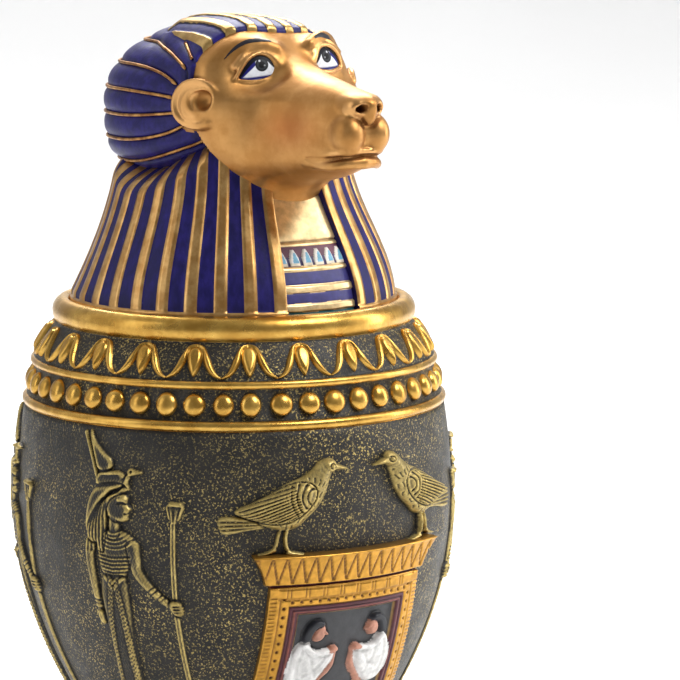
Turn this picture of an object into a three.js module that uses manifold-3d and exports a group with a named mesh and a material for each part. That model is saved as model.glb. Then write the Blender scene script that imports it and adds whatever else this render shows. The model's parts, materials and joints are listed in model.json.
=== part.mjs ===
// A baboon-headed canopic jar, a cast-resin replica: a hollow jar with a moulded rim, two
// ornament bands and figures in relief, and a loose lid in the form of a baboon's head in a
// striped headcloth. Millimetres, +Z up, the front toward -Y, the origin under the foot.
import * as THREE from 'three';
import Module from 'manifold-3d';

const wasm = await Module();
wasm.setup();

// ---- Driving dimensions -------------------------------------------------------------------
const FOOT_RADIUS = 35.5;
const FOOT_HEIGHT = 6;
const BELLY_RADIUS = 63;
const BELLY_HEIGHT = 90;
const CONE_TOP = 35; // below this the belly's curve runs on as a straight cone
const BELLY_DROP_BELOW = 0.00483; // mm of radius lost for each square mm below the belly
const BELLY_DROP_ABOVE = 0.003;
const WALL = 6;
const FLOOR = 9;

const LOWER_RING = { bottom: 117, top: 119.8, radius: 61.4 };
const BEAD_WALL = { bottom: 59.2, top: 57.6 };
const THIN_RING = { bottom: 128.4, top: 130.6, radius: 58.9 };
const LOTUS_TOP = 140.6;
const RIM_RADIUS = 52.4;
const RIM_TOP = 147.2;
const SEAT_RADIUS = 47.4; // the lid sits inside the rim on a ledge
const SEAT_HEIGHT = 145.4;
const MOUTH_RADIUS = 41.2;

const BEADS = 46;
const BEAD_RISE = 2;
const LOTUSES = 23;
const LOTUS_RISE = 0.9;

const CLEARANCE = 0.3;
const SPIGOT_LENGTH = 5;
const BELL_STRIPES = 32; // gold stripes round the headcloth, counting those beside the panel
const BELL_TOP = 190;
const PANEL_HALF_ANGLE = 15.5;
const STRIPE_RISE = 0.25;

const DOME = { y: 7.5, z: 203.6, x: 32.8, depth: 35, up: 23, down: 22 };
const DOME_FLUTES = 9;
const EYE = { x: 11.8, forward: 27.6, z: 214.8 };
const NOSE = { forward: 61.6, z: 206.2 };

const RELIEF = 1.5;
const SHRINE = { halfWidth: 24.5, picture: 15.5, bottom: 23, top: 74, cornice: 83 };
const BIRD_AT = 19; // degrees either side of the front
const FIGURE_AT = 62;
const BACK_FIGURE_AT = 124;

const GOLD = { color: 0xc8963c, roughness: 0.35, metalness: 0.8 };
const BRONZE = { color: 0x37342f, roughness: 0.6, metalness: 0.2 };

// ---- Helpers ------------------------------------------------------------------------------
const radians = THREE.MathUtils.degToRad;

// A point at an angle from the front (positive toward +X), a radius and a height.
function polar(angle, radius, height) {
  return [radius * Math.sin(angle), -radius * Math.cos(angle), height];
}

function solid(points, triangles) {
  return new wasm.Manifold(new wasm.Mesh({
    numProp: 3,
    vertProperties: new Float32Array(points.flat()),
    triVerts: new Uint32Array(triangles.flat()),
  }));
}

function toSolid(geometry) {
  const welded = new Map();
  const points = [];
  const position = geometry.getAttribute('position');
  const index = [];
  for (let i = 0; i < position.count; i++) {
    const point = [position.getX(i), position.getY(i), position.getZ(i)];
    const key = point.map((value) => Math.round(value * 1e4)).join();
    if (!welded.has(key)) {
      welded.set(key, points.length);
      points.push(point);
    }
    index.push(welded.get(key));
  }
  const order = geometry.index ? Array.from(geometry.index.array) : index.map((_, i) => i);
  const triangles = [];
  for (let i = 0; i < order.length; i += 3) {
    const [a, b, c] = [index[order[i]], index[order[i + 1]], index[order[i + 2]]];
    if (a !== b && b !== c && c !== a) triangles.push([a, b, c]);
  }
  return solid(points, triangles);
}

function toGeometry(manifold) {
  const mesh = manifold.getMesh();
  const geometry = new THREE.BufferGeometry();
  const points = new Float32Array(mesh.numVert * 3);
  for (let i = 0; i < mesh.numVert; i++) {
    points.set(mesh.vertProperties.slice(i * mesh.numProp, i * mesh.numProp + 3), i * 3);
  }
  geometry.setAttribute('position', new THREE.BufferAttribute(points, 3));
  geometry.setIndex(Array.from(mesh.triVerts));
  return geometry;
}

const joined = (solids) => solids.reduce((whole, next) => whole.add(next));

// Closed rings of points, each with its own count, skinned in order. With capped ends the rings
// run from one end to the other; without, the last ring is joined back to the first.
function skin(rings, capped) {
  const points = [];
  const triangles = [];
  const starts = rings.map((ring) => points.push(...ring) - ring.length);
  const join = (lower, upper) => {
    const [n, m] = [rings[lower].length, rings[upper].length];
    let [i, j] = [0, 0];
    while (i < n || j < m) {
      const a = starts[lower] + (i % n);
      const b = starts[upper] + (j % m);
      if (j >= m || (i < n && (i + 1) * m <= (j + 1) * n)) {
        triangles.push([a, starts[lower] + ((i + 1) % n), b]);
        i++;
      } else {
        triangles.push([a, starts[upper] + ((j + 1) % m), b]);
        j++;
      }
    }
  };
  for (let k = 0; k + 1 < rings.length; k++) join(k, k + 1);
  if (!capped) {
    join(rings.length - 1, 0);
    return solid(points, triangles);
  }
  const last = rings.length - 1;
  for (const [ring, flip] of [[0, true], [last, false]]) {
    const middle = rings[ring].reduce((sum, p) => sum.map((value, k) => value + p[k]), [0, 0, 0]);
    points.push(middle.map((value) => value / rings[ring].length));
    for (let i = 0; i < rings[ring].length; i++) {
      const a = starts[ring] + i;
      const b = starts[ring] + ((i + 1) % rings[ring].length);
      triangles.push(flip ? [b, a, points.length - 1] : [a, b, points.length - 1]);
    }
  }
  return solid(points, triangles);
}

// A ring round the vertical axis; the radius may be a number or a function of the angle.
function circle(columns, radius, height) {
  return Array.from({ length: columns }, (_, i) => {
    const angle = (i / columns) * 2 * Math.PI;
    return polar(angle, typeof radius === 'function' ? radius(angle, i) : radius, height);
  });
}

function ellipsoid(x, forward, z, size, segments = 14) {
  const shape = new THREE.SphereGeometry(1, segments, Math.round(segments * 0.6));
  shape.rotateX(Math.PI / 2);
  shape.scale(...size);
  shape.translate(x, -forward, z);
  return toSolid(shape);
}

// Rounded-box sections across the way forward, from { forward, z, width, height, x }.
function loft(sections, columns = 12, squareness = 2.3) {
  const rings = sections.map(({ forward, z, width, height, x = 0 }) => (
    Array.from({ length: columns }, (_, i) => {
      const angle = (i / columns) * 2 * Math.PI;
      const round = (value) => Math.sign(value) * Math.abs(value) ** (2 / squareness);
      return [x + width * round(Math.cos(angle)), -forward, z + height * round(Math.sin(angle))];
    })));
  return skin(rings, true);
}

// ---- The jar's wall -----------------------------------------------------------------------
function wallRadius(z) {
  const drop = z > BELLY_HEIGHT ? BELLY_DROP_ABOVE : BELLY_DROP_BELOW;
  const down = Math.min(BELLY_HEIGHT - z, BELLY_HEIGHT - CONE_TOP);
  const slope = 2 * BELLY_DROP_BELOW * (BELLY_HEIGHT - CONE_TOP);
  return BELLY_RADIUS - drop * down * down - slope * Math.max(0, CONE_TOP - z);
}

// The ornament band under the rim, curving in from the thin ring up to the rim.
function lotusWall(z) {
  const up = (z - THIN_RING.top) / (LOTUS_TOP - THIN_RING.top);
  const [bottom, top] = [THIN_RING.radius - 1.4, RIM_RADIUS - 1.1];
  return top + (bottom - top) * (1 - Math.max(0, up) ** 1.4);
}

function vessel() {
  const plain = BEADS;
  const fine = BEADS * 2;
  const inner = BEADS / 2;
  const rings = [];
  const ring = (columns, radius, z) => rings.push(circle(columns, radius, z));

  // Outside, from the foot up.
  ring(plain, FOOT_RADIUS - 1, 0);
  ring(plain, FOOT_RADIUS, 1);
  ring(plain, FOOT_RADIUS, FOOT_HEIGHT - 1);
  ring(plain, wallRadius(FOOT_HEIGHT), FOOT_HEIGHT);
  for (const z of [CONE_TOP, 47, 60, 74, BELLY_HEIGHT, 105, LOWER_RING.bottom]) {
    ring(plain, wallRadius(z), z);
  }
  ring(plain, LOWER_RING.radius, LOWER_RING.bottom + 0.7);
  ring(plain, LOWER_RING.radius, LOWER_RING.top - 0.7);

  // Beads: every other column stands out at the band's middle.
  const beadZ = (LOWER_RING.top + THIN_RING.bottom) / 2;
  const beadWall = (BEAD_WALL.bottom + BEAD_WALL.top) / 2;
  ring(fine, BEAD_WALL.bottom, LOWER_RING.top);
  ring(fine, (_, i) => beadWall + (i % 2 ? BEAD_RISE : 0), beadZ);
  ring(fine, BEAD_WALL.top, THIN_RING.bottom);
  ring(plain, THIN_RING.radius, THIN_RING.bottom + 0.6);
  ring(plain, THIN_RING.radius, THIN_RING.top - 0.6);

  // Lotus flowers: four columns each, the middle petal and the petals' shared tips raised.
  const petals = (z) => (_, i) => lotusWall(z) + (i % (fine / LOTUSES / 2) ? 0 : LOTUS_RISE);
  const bandHeight = LOTUS_TOP - THIN_RING.top;
  ring(fine, lotusWall(THIN_RING.top), THIN_RING.top);
  ring(fine, petals(THIN_RING.top + bandHeight * 0.5), THIN_RING.top + bandHeight * 0.5);
  ring(plain, RIM_RADIUS - 0.8, LOTUS_TOP);
  ring(plain, RIM_RADIUS, LOTUS_TOP + 2.4);
  ring(plain, RIM_RADIUS - 0.9, RIM_TOP - 1.6);
  ring(plain, RIM_RADIUS - 2.6, RIM_TOP);
  ring(plain, SEAT_RADIUS + 0.6, RIM_TOP);

  // The seat, the mouth and the hollow, down to the floor.
  ring(plain, SEAT_RADIUS, RIM_TOP - 0.6);
  ring(plain, SEAT_RADIUS, SEAT_HEIGHT);
  ring(plain, MOUTH_RADIUS, SEAT_HEIGHT);
  ring(inner, MOUTH_RADIUS, LOTUS_TOP - 1);
  for (const z of [THIN_RING.bottom - 4, BELLY_HEIGHT, 62, CONE_TOP, FLOOR + 3]) {
    ring(inner, Math.min(wallRadius(z), LOWER_RING.radius - 3) - WALL, z);
  }
  ring(inner, wallRadius(FLOOR) - WALL - 4, FLOOR);
  return skin(rings, true);
}

// ---- Relief on the jar --------------------------------------------------------------------
// A raised strip up the wall, from rows of [height, left, right]: millimetres across the wall
// from a meridian, bevelled across its face and sunk a little into the wall behind.
function strip(rows, atDegrees, rise, mirrored = false) {
  const rings = rows.map(([z, left, right]) => {
    const radius = wallRadius(z);
    const at = (across, height) => {
      const angle = radians(atDegrees) + across / radius;
      return polar(mirrored ? -angle : angle, radius + height, z);
    };
    const edge = (right - left) * 0.2;
    const ring = [at(left, -1), at(left + edge, rise), at(right - edge, rise), at(right, -1)];
    return mirrored ? ring.reverse() : ring;
  });
  return skin(rings, true);
}

// A curved panel round the front, with its own rise at each height: rows of [z, half, rise].
function panel(rows, columns = 6) {
  const faces = rows.map(([z, half, rise]) => {
    const radius = wallRadius(z);
    const at = (i, height) => polar((-1 + (2 * i) / columns) * (half / radius), radius + height, z);
    const front = Array.from({ length: columns + 1 }, (_, i) => at(i, rise));
    const back = Array.from({ length: columns + 1 }, (_, i) => at(columns - i, -1.5));
    return front.concat(back);
  });
  return skin(faces, true);
}

// The shrine on the front: framed pillars, a sunk picture and a flaring cornice.
function shrine() {
  const { halfWidth, bottom, top, cornice, picture } = SHRINE;
  const rows = (from, to, half, rise) => (
    [0, 1, 2, 3].map((step) => [from + ((to - from) * step) / 3, half, rise]));
  const base = panel([[bottom - 3, halfWidth + 2, 3], [bottom, halfWidth + 2, 3]]);
  const frame = panel(rows(bottom - 0.5, top + 0.5, halfWidth, 2.4));
  const sunk = panel(rows(bottom + 7, top - 8.5, picture, 4));
  const floor = panel(rows(bottom + 5, top - 6.5, picture + 1, 0.6));
  const cavetto = panel([
    [top, halfWidth + 1, 2.4],
    [(top + cornice) / 2, halfWidth + 2, 3],
    [cornice - 1, halfWidth + 4.8, 4.6],
    [cornice, halfWidth + 4.8, 4.6],
  ]);
  return joined([base, frame.subtract(sunk), floor, cavetto]);
}

// A dove in profile on the cornice, looking toward the middle: tail, body, head, beak and legs.
function bird(mirrored) {
  const z = SHRINE.cornice;
  const part = (rows, rise) => strip(rows, -BIRD_AT, rise, mirrored);
  return joined([
    part([[z + 6, -20, -18], [z + 8.5, -20, -8], [z + 11, -17, -6], [z + 13, -13, -8]], 1.6),
    part([
      [z + 6.5, -4, 0],
      [z + 9, -9, 4],
      [z + 13, -10, 7.5],
      [z + 18, -5, 9.8],
      [z + 23, 4, 11],
    ], 3.4),
    part([[z + 21, 3.5, 10.5], [z + 23.5, 5.5, 12.5], [z + 26, 8, 11.5]], 3.2),
    part([[z + 22.2, 11, 13], [z + 22.8, 11, 16], [z + 23.5, 11, 13]], 2),
    part([[z - 0.8, -2.6, 2.5], [z + 1, -2.6, -0.8], [z + 7, -2.8, -0.6]], 2.2),
    part([[z - 0.8, -9.3, -4], [z + 1, -6, -4], [z + 7, -4.4, -2.8]], 1.8),
  ]);
}

// A goddess in profile, facing the shrine: crown, head and wig, body, skirt and feet. The two
// in front have their arms apart from the body and hold a papyrus sceptre.
function figure(atDegrees, mirrored, plain) {
  const part = (rows, rise = RELIEF) => strip(rows, atDegrees, rise, mirrored);
  const body = [
    part([[104, -10.2, -4.5], [108, -10.4, -4.6], [116.3, -12.6, -11.6]]),
    part([[100.4, -9, 0], [105.4, -10.4, 0.2]], 1.9),
    part([[83, -9, -5.6], [87, -12.6, -5], [92, -12.9, 0.6], [101, -9.2, 0.4]], 2),
    part([[75.5, -8, -0.3], [84, -11, 3.8], [91.5, -6, 0]], 1.8),
    part([[18, -9, 4], [24, -7.5, 0], [44, -7.9, -0.4], [68, -9, -0.3], [76, -7.8, -0.4]]),
  ];
  if (plain) return joined(body);
  return joined([
    ...body,
    part([[101, 0, 1.6], [104.5, 0.4, 3], [106, 0.4, 4.6]], 1.9),
    part([[61, -12, -9.6], [79, -13.5, -11], [86, -12.8, -9.6]], 1.4),
    part([[65.5, 11, 15.5], [69, 7.6, 15.6], [78, 0, 3.6], [84, 0, 3.8]]),
    part([[24, 12.9, 14.3], [49, 12.9, 14.3], [68, 13.2, 14.8], [92, 13.2, 15], [97, 11.8, 17.6]], 1.2),
  ]);
}

function jar() {
  return joined([
    vessel(),
    shrine(),
    bird(false),
    bird(true),
    figure(-FIGURE_AT, false, false),
    figure(-FIGURE_AT, true, false),
    figure(-BACK_FIGURE_AT, false, true),
    figure(-BACK_FIGURE_AT, true, true),
  ]);
}

// ---- The lid: a baboon's head in a headcloth ------------------------------------------------
// The headcloth's flare: the front lappets swell out and lie flatter toward the top, and the
// back falls straighter.
function bellRadius(angle, z) {
  const up = Math.min(1, Math.max(0, (z - SEAT_HEIGHT) / (BELL_TOP - SEAT_HEIGHT)));
  const front = 34.4 + 6.2 * (1 + Math.cos(Math.PI * up));
  const back = Math.min(33.6 + 15.2 * (1 - up) ** 1.55, SEAT_RADIUS - 0.5);
  const around = Math.abs(Math.atan2(Math.sin(angle), Math.cos(angle)));
  const blend = THREE.MathUtils.smoothstep(Math.PI - around, radians(60), radians(120));
  const flat = 3.4 * up ** 1.5 * Math.max(0, Math.cos(angle)) ** 2;
  return back + (front - back) * blend - flat;
}

function bell() {
  const columns = BELL_STRIPES * 2;
  const bottom = SEAT_HEIGHT + CLEARANCE;
  const rings = [
    circle(BELL_STRIPES, MOUTH_RADIUS - 1.6, bottom - SPIGOT_LENGTH),
    circle(BELL_STRIPES, MOUTH_RADIUS - 0.8, bottom - SPIGOT_LENGTH + 0.8),
    circle(BELL_STRIPES, MOUTH_RADIUS - 0.8, bottom),
    circle(BELL_STRIPES, SEAT_RADIUS - 0.7, bottom),
    circle(BELL_STRIPES, SEAT_RADIUS - 0.7, bottom + 1.6),
  ];
  const striped = (z) => (angle, i) => {
    const ridge = i % 2 ? -STRIPE_RISE : STRIPE_RISE;
    const around = Math.abs(Math.atan2(Math.sin(angle), Math.cos(angle)));
    const sunk = around < radians(PANEL_HALF_ANGLE) ? 1.2 + (z - bottom) * 0.05 : 0;
    return bellRadius(angle, z) - 0.3 - sunk + (sunk ? 0 : ridge);
  };
  for (const z of [bottom + 1.8, 156, 166, 178, BELL_TOP]) {
    rings.push(circle(columns, striped(z), z));
  }
  rings.push(circle(BELL_STRIPES, 26, BELL_TOP + 4));
  return skin(rings, true);
}

// The padded back of the headcloth: a melon whose flutes run from ear to ear behind the head.
function dome() {
  const slices = 8;
  const around = DOME_FLUTES * 3;
  const rings = [];
  for (let s = 1; s < slices; s++) {
    const polarAngle = (s / slices) * Math.PI;
    const ring = Array.from({ length: around }, (_, i) => {
      const angle = (i / around) * 2 * Math.PI;
      const flute = i % 3 ? 1 : 0.98;
      const radius = Math.sin(polarAngle) ** 0.9 * flute;
      const rise = Math.sin(angle);
      const height = rise > 0 ? DOME.up * rise : -DOME.down * Math.abs(rise) ** 0.8;
      return [
        DOME.x * Math.cos(polarAngle),
        DOME.y + DOME.depth * radius * Math.cos(angle),
        DOME.z + height * radius,
      ];
    });
    rings.push(ring.reverse());
  }
  return skin(rings, true);
}

// The head's bulk, flat-topped over the brow and narrowing to the muzzle.
function skull() {
  return loft([
    { forward: -16, z: 204, width: 20, height: 19.5 },
    { forward: -6, z: 203.5, width: 26, height: 24.4 },
    { forward: 8, z: 203, width: 27.2, height: 25.8 },
    { forward: 20, z: 202, width: 26, height: 25 },
    { forward: 25, z: 201.6, width: 23.8, height: 23.4 },
    { forward: 29, z: 200.8, width: 20.8, height: 21 },
    { forward: 34, z: 199.6, width: 17.2, height: 18.8 },
  ], 20, 3.2);
}

// The muzzle with its mouth cut in, the nose, the two lip pads and the lower lip.
function muzzle() {
  const bridge = loft([
    { forward: 26, z: 200, width: 21, height: 19.5 },
    { forward: 36, z: 199.3, width: 16.2, height: 17.6 },
    { forward: 44, z: 199.2, width: 13.4, height: 15.5 },
    { forward: 50, z: 199, width: 11.8, height: 14 },
    { forward: 56, z: 199, width: 9.9, height: 12.3 },
    { forward: 61, z: 199.4, width: 7.4, height: 10.4 },
    { forward: 65, z: 200, width: 4.4, height: 7 },
  ], 14);
  const lowerLip = loft([
    { forward: 50, z: 190.6, width: 9, height: 2.6 },
    { forward: 61.4, z: 190.4, width: 8.2, height: 1.9 },
    { forward: 66.8, z: 191.2, width: 4.4, height: 1.5 },
  ]);
  const mouth = loft([
    { forward: 57, z: 192, width: 14, height: 0.3 },
    { forward: 72, z: 193.4, width: 14, height: 0.45 },
  ], 6);
  const nose = ellipsoid(0, NOSE.forward, NOSE.z, [5.2, 7.6, 3.6], 10);
  const nostrils = [-1, 1].map((side) => (
    ellipsoid(2.7 * side, NOSE.forward + 6.6, NOSE.z - 0.4, [1.1, 1.4, 1], 6)));
  const lips = [-1, 1].map((side) => ellipsoid(4.3 * side, 61.2, 198.8, [4.4, 7, 5.8], 10));
  const cuts = joined([mouth, ...nostrils]);
  return joined([bridge, lowerLip, nose, ...lips]).subtract(cuts);
}

function eyes() {
  const parts = [];
  for (const side of [-1, 1]) {
    parts.push(ellipsoid(EYE.x * side, EYE.forward, EYE.z, [6.2, 4.6, 3.8], 8));
    parts.push(ellipsoid(11 * side, 27.6, 220.6, [8, 5.4, 2.9], 8));
  }
  return joined(parts);
}

function ears() {
  const parts = [];
  for (const side of [-1, 1]) {
    const shell = ellipsoid(26.4 * side, 20.3, 204.5, [3.8, 6.8, 7.7], 10);
    const hollow = ellipsoid(30.4 * side, 21.6, 205, [2.6, 3.6, 4.4], 8);
    parts.push(shell.subtract(hollow));
  }
  return joined(parts);
}

// The gold breast and the rows of ornament under it, between the two front lappets.
function breast() {
  const rows = [[149, 1.5], [154, 1.5], [160, 1.5]];
  const strips = rows.map(([z, height]) => {
    const ring = (level, rise) => {
      const edge = radians(PANEL_HALF_ANGLE + 1);
      const at = (i, radius) => polar((-1 + (2 * i) / 4) * edge, radius, level);
      const front = Array.from({ length: 5 }, (_, i) => at(i, bellRadius(0, level) - 1.3 + rise));
      const back = Array.from({ length: 5 }, (_, i) => at(4 - i, bellRadius(0, level) - 4));
      return front.concat(back);
    };
    return skin([ring(z, 0.5), ring(z + height, 0.5)], true);
  });
  const neck = loft([
    { forward: 6, z: 182, width: 20, height: 15 },
    { forward: 26, z: 180, width: 16, height: 13 },
    { forward: 30.5, z: 178, width: 12.5, height: 9 },
  ]);
  return joined([...strips, neck]);
}

function lid() {
  return joined([bell(), dome(), skull(), muzzle(), eyes(), ears(), breast()]);
}

// ---- The object -----------------------------------------------------------------------------
function named(name, manifold, look) {
  const mesh = new THREE.Mesh(toGeometry(manifold), new THREE.MeshStandardMaterial(look));
  mesh.name = name;
  return mesh;
}

const canopicJar = new THREE.Group();
canopicJar.add(named('jar', jar(), BRONZE));
canopicJar.add(named('lid', lid(), GOLD));

export default canopicJar;
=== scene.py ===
import json
import math

import bpy
import numpy as np
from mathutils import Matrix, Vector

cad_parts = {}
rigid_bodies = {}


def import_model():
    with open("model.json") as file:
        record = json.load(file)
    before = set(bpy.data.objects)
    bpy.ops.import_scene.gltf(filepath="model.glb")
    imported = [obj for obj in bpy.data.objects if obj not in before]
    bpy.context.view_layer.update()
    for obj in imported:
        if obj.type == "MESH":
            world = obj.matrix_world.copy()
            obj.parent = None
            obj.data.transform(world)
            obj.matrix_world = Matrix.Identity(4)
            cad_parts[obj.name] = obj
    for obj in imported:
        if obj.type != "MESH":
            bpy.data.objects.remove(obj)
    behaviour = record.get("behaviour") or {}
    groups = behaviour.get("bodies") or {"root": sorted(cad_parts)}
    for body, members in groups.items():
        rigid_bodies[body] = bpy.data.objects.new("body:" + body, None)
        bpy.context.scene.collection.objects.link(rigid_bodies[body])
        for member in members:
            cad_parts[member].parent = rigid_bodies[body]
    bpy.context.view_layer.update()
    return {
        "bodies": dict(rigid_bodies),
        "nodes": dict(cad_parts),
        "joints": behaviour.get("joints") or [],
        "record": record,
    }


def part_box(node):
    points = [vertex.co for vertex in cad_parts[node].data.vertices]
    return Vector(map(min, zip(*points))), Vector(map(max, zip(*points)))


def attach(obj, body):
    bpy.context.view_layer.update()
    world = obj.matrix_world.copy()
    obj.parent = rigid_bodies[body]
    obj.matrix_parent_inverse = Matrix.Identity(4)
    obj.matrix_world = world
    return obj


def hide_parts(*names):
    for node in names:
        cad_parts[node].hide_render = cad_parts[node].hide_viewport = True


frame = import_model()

import openvdb
from mathutils import Matrix, Vector

RIM_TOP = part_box("jar")[1][2] * 1000
SEAT = RIM_TOP - 1.5
BELLY, BELLY_AT, CONE_TOP = 63.0, 90.0, 35.0
FALL_ABOVE, FALL_BELOW = 0.003, 0.00483
rng = np.random.default_rng(7)


# ---- Making meshes ----
def piece(name, points, faces, materials, sides=None, marks=None):
    """A mesh riding on the jar's one body. sides picks each face's material, marks are numbers
    or colours kept at the points for the materials to read."""
    mesh = bpy.data.meshes.new(name)
    points = np.asarray(points, float) / 1000
    faces = np.asarray(faces)
    mesh.vertices.add(len(points))
    mesh.vertices.foreach_set("co", points.ravel())
    mesh.loops.add(faces.size)
    mesh.loops.foreach_set("vertex_index", faces.ravel().astype(np.int32))
    mesh.polygons.add(len(faces))
    starts = np.arange(0, faces.size, faces.shape[1], dtype=np.int32)
    mesh.polygons.foreach_set("loop_start", starts)
    for material in materials:
        mesh.materials.append(material)
    if sides is not None:
        mesh.polygons.foreach_set("material_index", np.asarray(sides, np.int32))
    mesh.polygons.foreach_set("use_smooth", np.full(len(faces), True))
    mesh.update(calc_edges=True)
    for key, values in (marks or {}).items():
        values = np.asarray(values, np.float32)
        if values.ndim == 1:
            mesh.attributes.new(key, "FLOAT", "POINT").data.foreach_set("value", values)
        else:
            colour = np.ones((len(values), 4), np.float32)
            colour[:, :3] = values
            layer = mesh.attributes.new(key, "FLOAT_COLOR", "POINT")
            layer.data.foreach_set("color", colour.ravel())
    made = bpy.data.objects.new(name, mesh)
    bpy.context.scene.collection.objects.link(made)
    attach(made, "root")
    return made


def grid_faces(rows, columns, closed=False):
    """Quads over a grid of points kept row by row; closed joins the last column to the first."""
    index = np.arange(rows * columns).reshape(rows, columns)
    right = np.roll(index, -1, axis=1) if closed else index[:, 1:]
    left = index if closed else index[:, :-1]
    quads = np.stack([left[:-1], right[:-1], right[1:], left[1:]], axis=-1)
    return quads.reshape(-1, 4)


def unit(vectors, least=0.0):
    """Vectors brought to length one; least keeps a zero from dividing."""
    return vectors / (np.linalg.norm(vectors, axis=-1, keepdims=True) + least)


def ease(share):
    """A smooth step from 0 to 1."""
    share = limit(share)
    return share * share * (3 - 2 * share)


def limit(share):
    """A share held between 0 and 1."""
    return np.clip(share, 0, 1)


def taper(count, at, values):
    """A value for each of count places along a path, from values at shares of it."""
    return np.interp(np.linspace(0, 1, count), at, values)


def around(angle, radius, height):
    """Points at angles from the front, toward +X."""
    return np.stack([radius * np.sin(angle), -radius * np.cos(angle), height], axis=-1)


def smooth_path(points, count, closed=False):
    """A smooth curve through points, resampled evenly."""
    points = np.asarray(points, float)
    ends = (points[-1:], points[:1], points[1:2]) if closed else (
        2 * points[:1] - points[1:2], 2 * points[-1:] - points[-2:-1], points[:0])
    ring = np.concatenate([ends[0], points, ends[1], ends[2]])
    spans = len(points) if closed else len(points) - 1
    t = np.linspace(0, 1, 12, endpoint=False)[:, None]
    out = []
    for i in range(spans):
        a, b, c, d = ring[i:i + 4]
        out.append(b + 0.5 * t * (c - a + t * (2 * a - 5 * b + 4 * c - d
                                               + t * (3 * b - a - 3 * c + d))))
    out.append(ring[spans + 1][None])
    out = np.concatenate(out)
    steps = np.concatenate([[0], np.cumsum(np.linalg.norm(np.diff(out, axis=0), axis=1))])
    wanted = np.linspace(0, steps[-1], count)
    return np.stack([np.interp(wanted, steps, out[:, k]) for k in range(out.shape[1])], axis=-1)


def lathe(name, profile, columns, materials, sides=None):
    """A profile of (radius, height) turned round the axis; sides gives each span's material."""
    profile = np.asarray(profile, float)
    angle = np.linspace(0, 2 * math.pi, columns, endpoint=False)
    points = around(angle[None, :], profile[:, :1], profile[:, 1:] + 0 * angle[None, :])
    faces = grid_faces(len(profile), columns, closed=True)
    if sides is not None:
        sides = np.repeat(sides, columns)
    return piece(name, points.reshape(-1, 3), faces, materials, sides)


def tube(path, radii, sides=8):
    """Points and faces of a tube along a path, left open at its ends."""
    path = np.asarray(path, float)
    radii = np.broadcast_to(radii, len(path)).astype(float).copy()
    along = unit(np.gradient(path, axis=0))
    up = unit(np.cross(along, [0.3, 0.2, 0.93]))
    out = np.cross(along, up)
    turn = np.linspace(0, 2 * math.pi, sides, endpoint=False)[None, :, None]
    points = path[:, None] + radii[:, None, None] * (
        np.cos(turn) * up[:, None] + np.sin(turn) * out[:, None])
    return points.reshape(-1, 3), grid_faces(len(path), sides, closed=True)


def together(parts):
    """Several lots of points and faces as one."""
    points, faces, start = [], [], 0
    for some_points, some_faces in parts:
        points.append(some_points)
        faces.append(some_faces + start)
        start += len(some_points)
    return np.concatenate(points), np.concatenate(faces)


# ---- Shapes in the plane, as distances, negative inside ----
def oval(u, v, at, size, turn=0.0):
    c, s = math.cos(math.radians(turn)), math.sin(math.radians(turn))
    a = ((u - at[0]) * c + (v - at[1]) * s) / size[0]
    b = ((v - at[1]) * c - (u - at[0]) * s) / size[1]
    far = np.hypot(a, b) + 1e-6
    return (far - 1) * far / (np.hypot(a / size[0], b / size[1]) + 1e-6)


def stroke(u, v, path, radii):
    """Round strokes along a path; radii is one number or one for each point."""
    radii = np.broadcast_to(radii, len(path))
    best = np.full(np.shape(u), 1e3)
    for (a, b, ra, rb) in zip(path[:-1], path[1:], radii[:-1], radii[1:]):
        du, dv = b[0] - a[0], b[1] - a[1]
        t = limit(((u - a[0]) * du + (v - a[1]) * dv) / (du * du + dv * dv + 1e-9))
        away = np.hypot(u - a[0] - t * du, v - a[1] - t * dv) - ra - (rb - ra) * t
        best = np.minimum(best, away)
    return best


def patch(u, v, corners, rounded=3):
    """A closed outline, its corners rounded off by cutting them a few times."""
    ring = np.asarray(corners, float)
    for _ in range(rounded):
        following = np.roll(ring, -1, axis=0)
        ring = np.stack([ring * 0.75 + following * 0.25, ring * 0.25 + following * 0.75], 1)
        ring = ring.reshape(-1, 2)
    best = np.full(np.shape(u), 1e6)
    inside = np.zeros(np.shape(u), bool)
    for a, b in zip(ring, np.roll(ring, -1, axis=0)):
        du, dv = b - a
        t = limit(((u - a[0]) * du + (v - a[1]) * dv) / (du * du + dv * dv + 1e-9))
        best = np.minimum(best, (u - a[0] - t * du) ** 2 + (v - a[1] - t * dv) ** 2)
        crosses = (a[1] > v) != (b[1] > v)
        inside ^= crosses & (u < du * (v - a[1]) / (dv if abs(dv) > 1e-9 else 1e-9) + a[0])
    return np.sqrt(best) * np.where(inside, -1, 1)


# ---- Relief ----
SUNK = -0.45
FAR = 9  # a distance that no groove or ridge reaches


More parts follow.
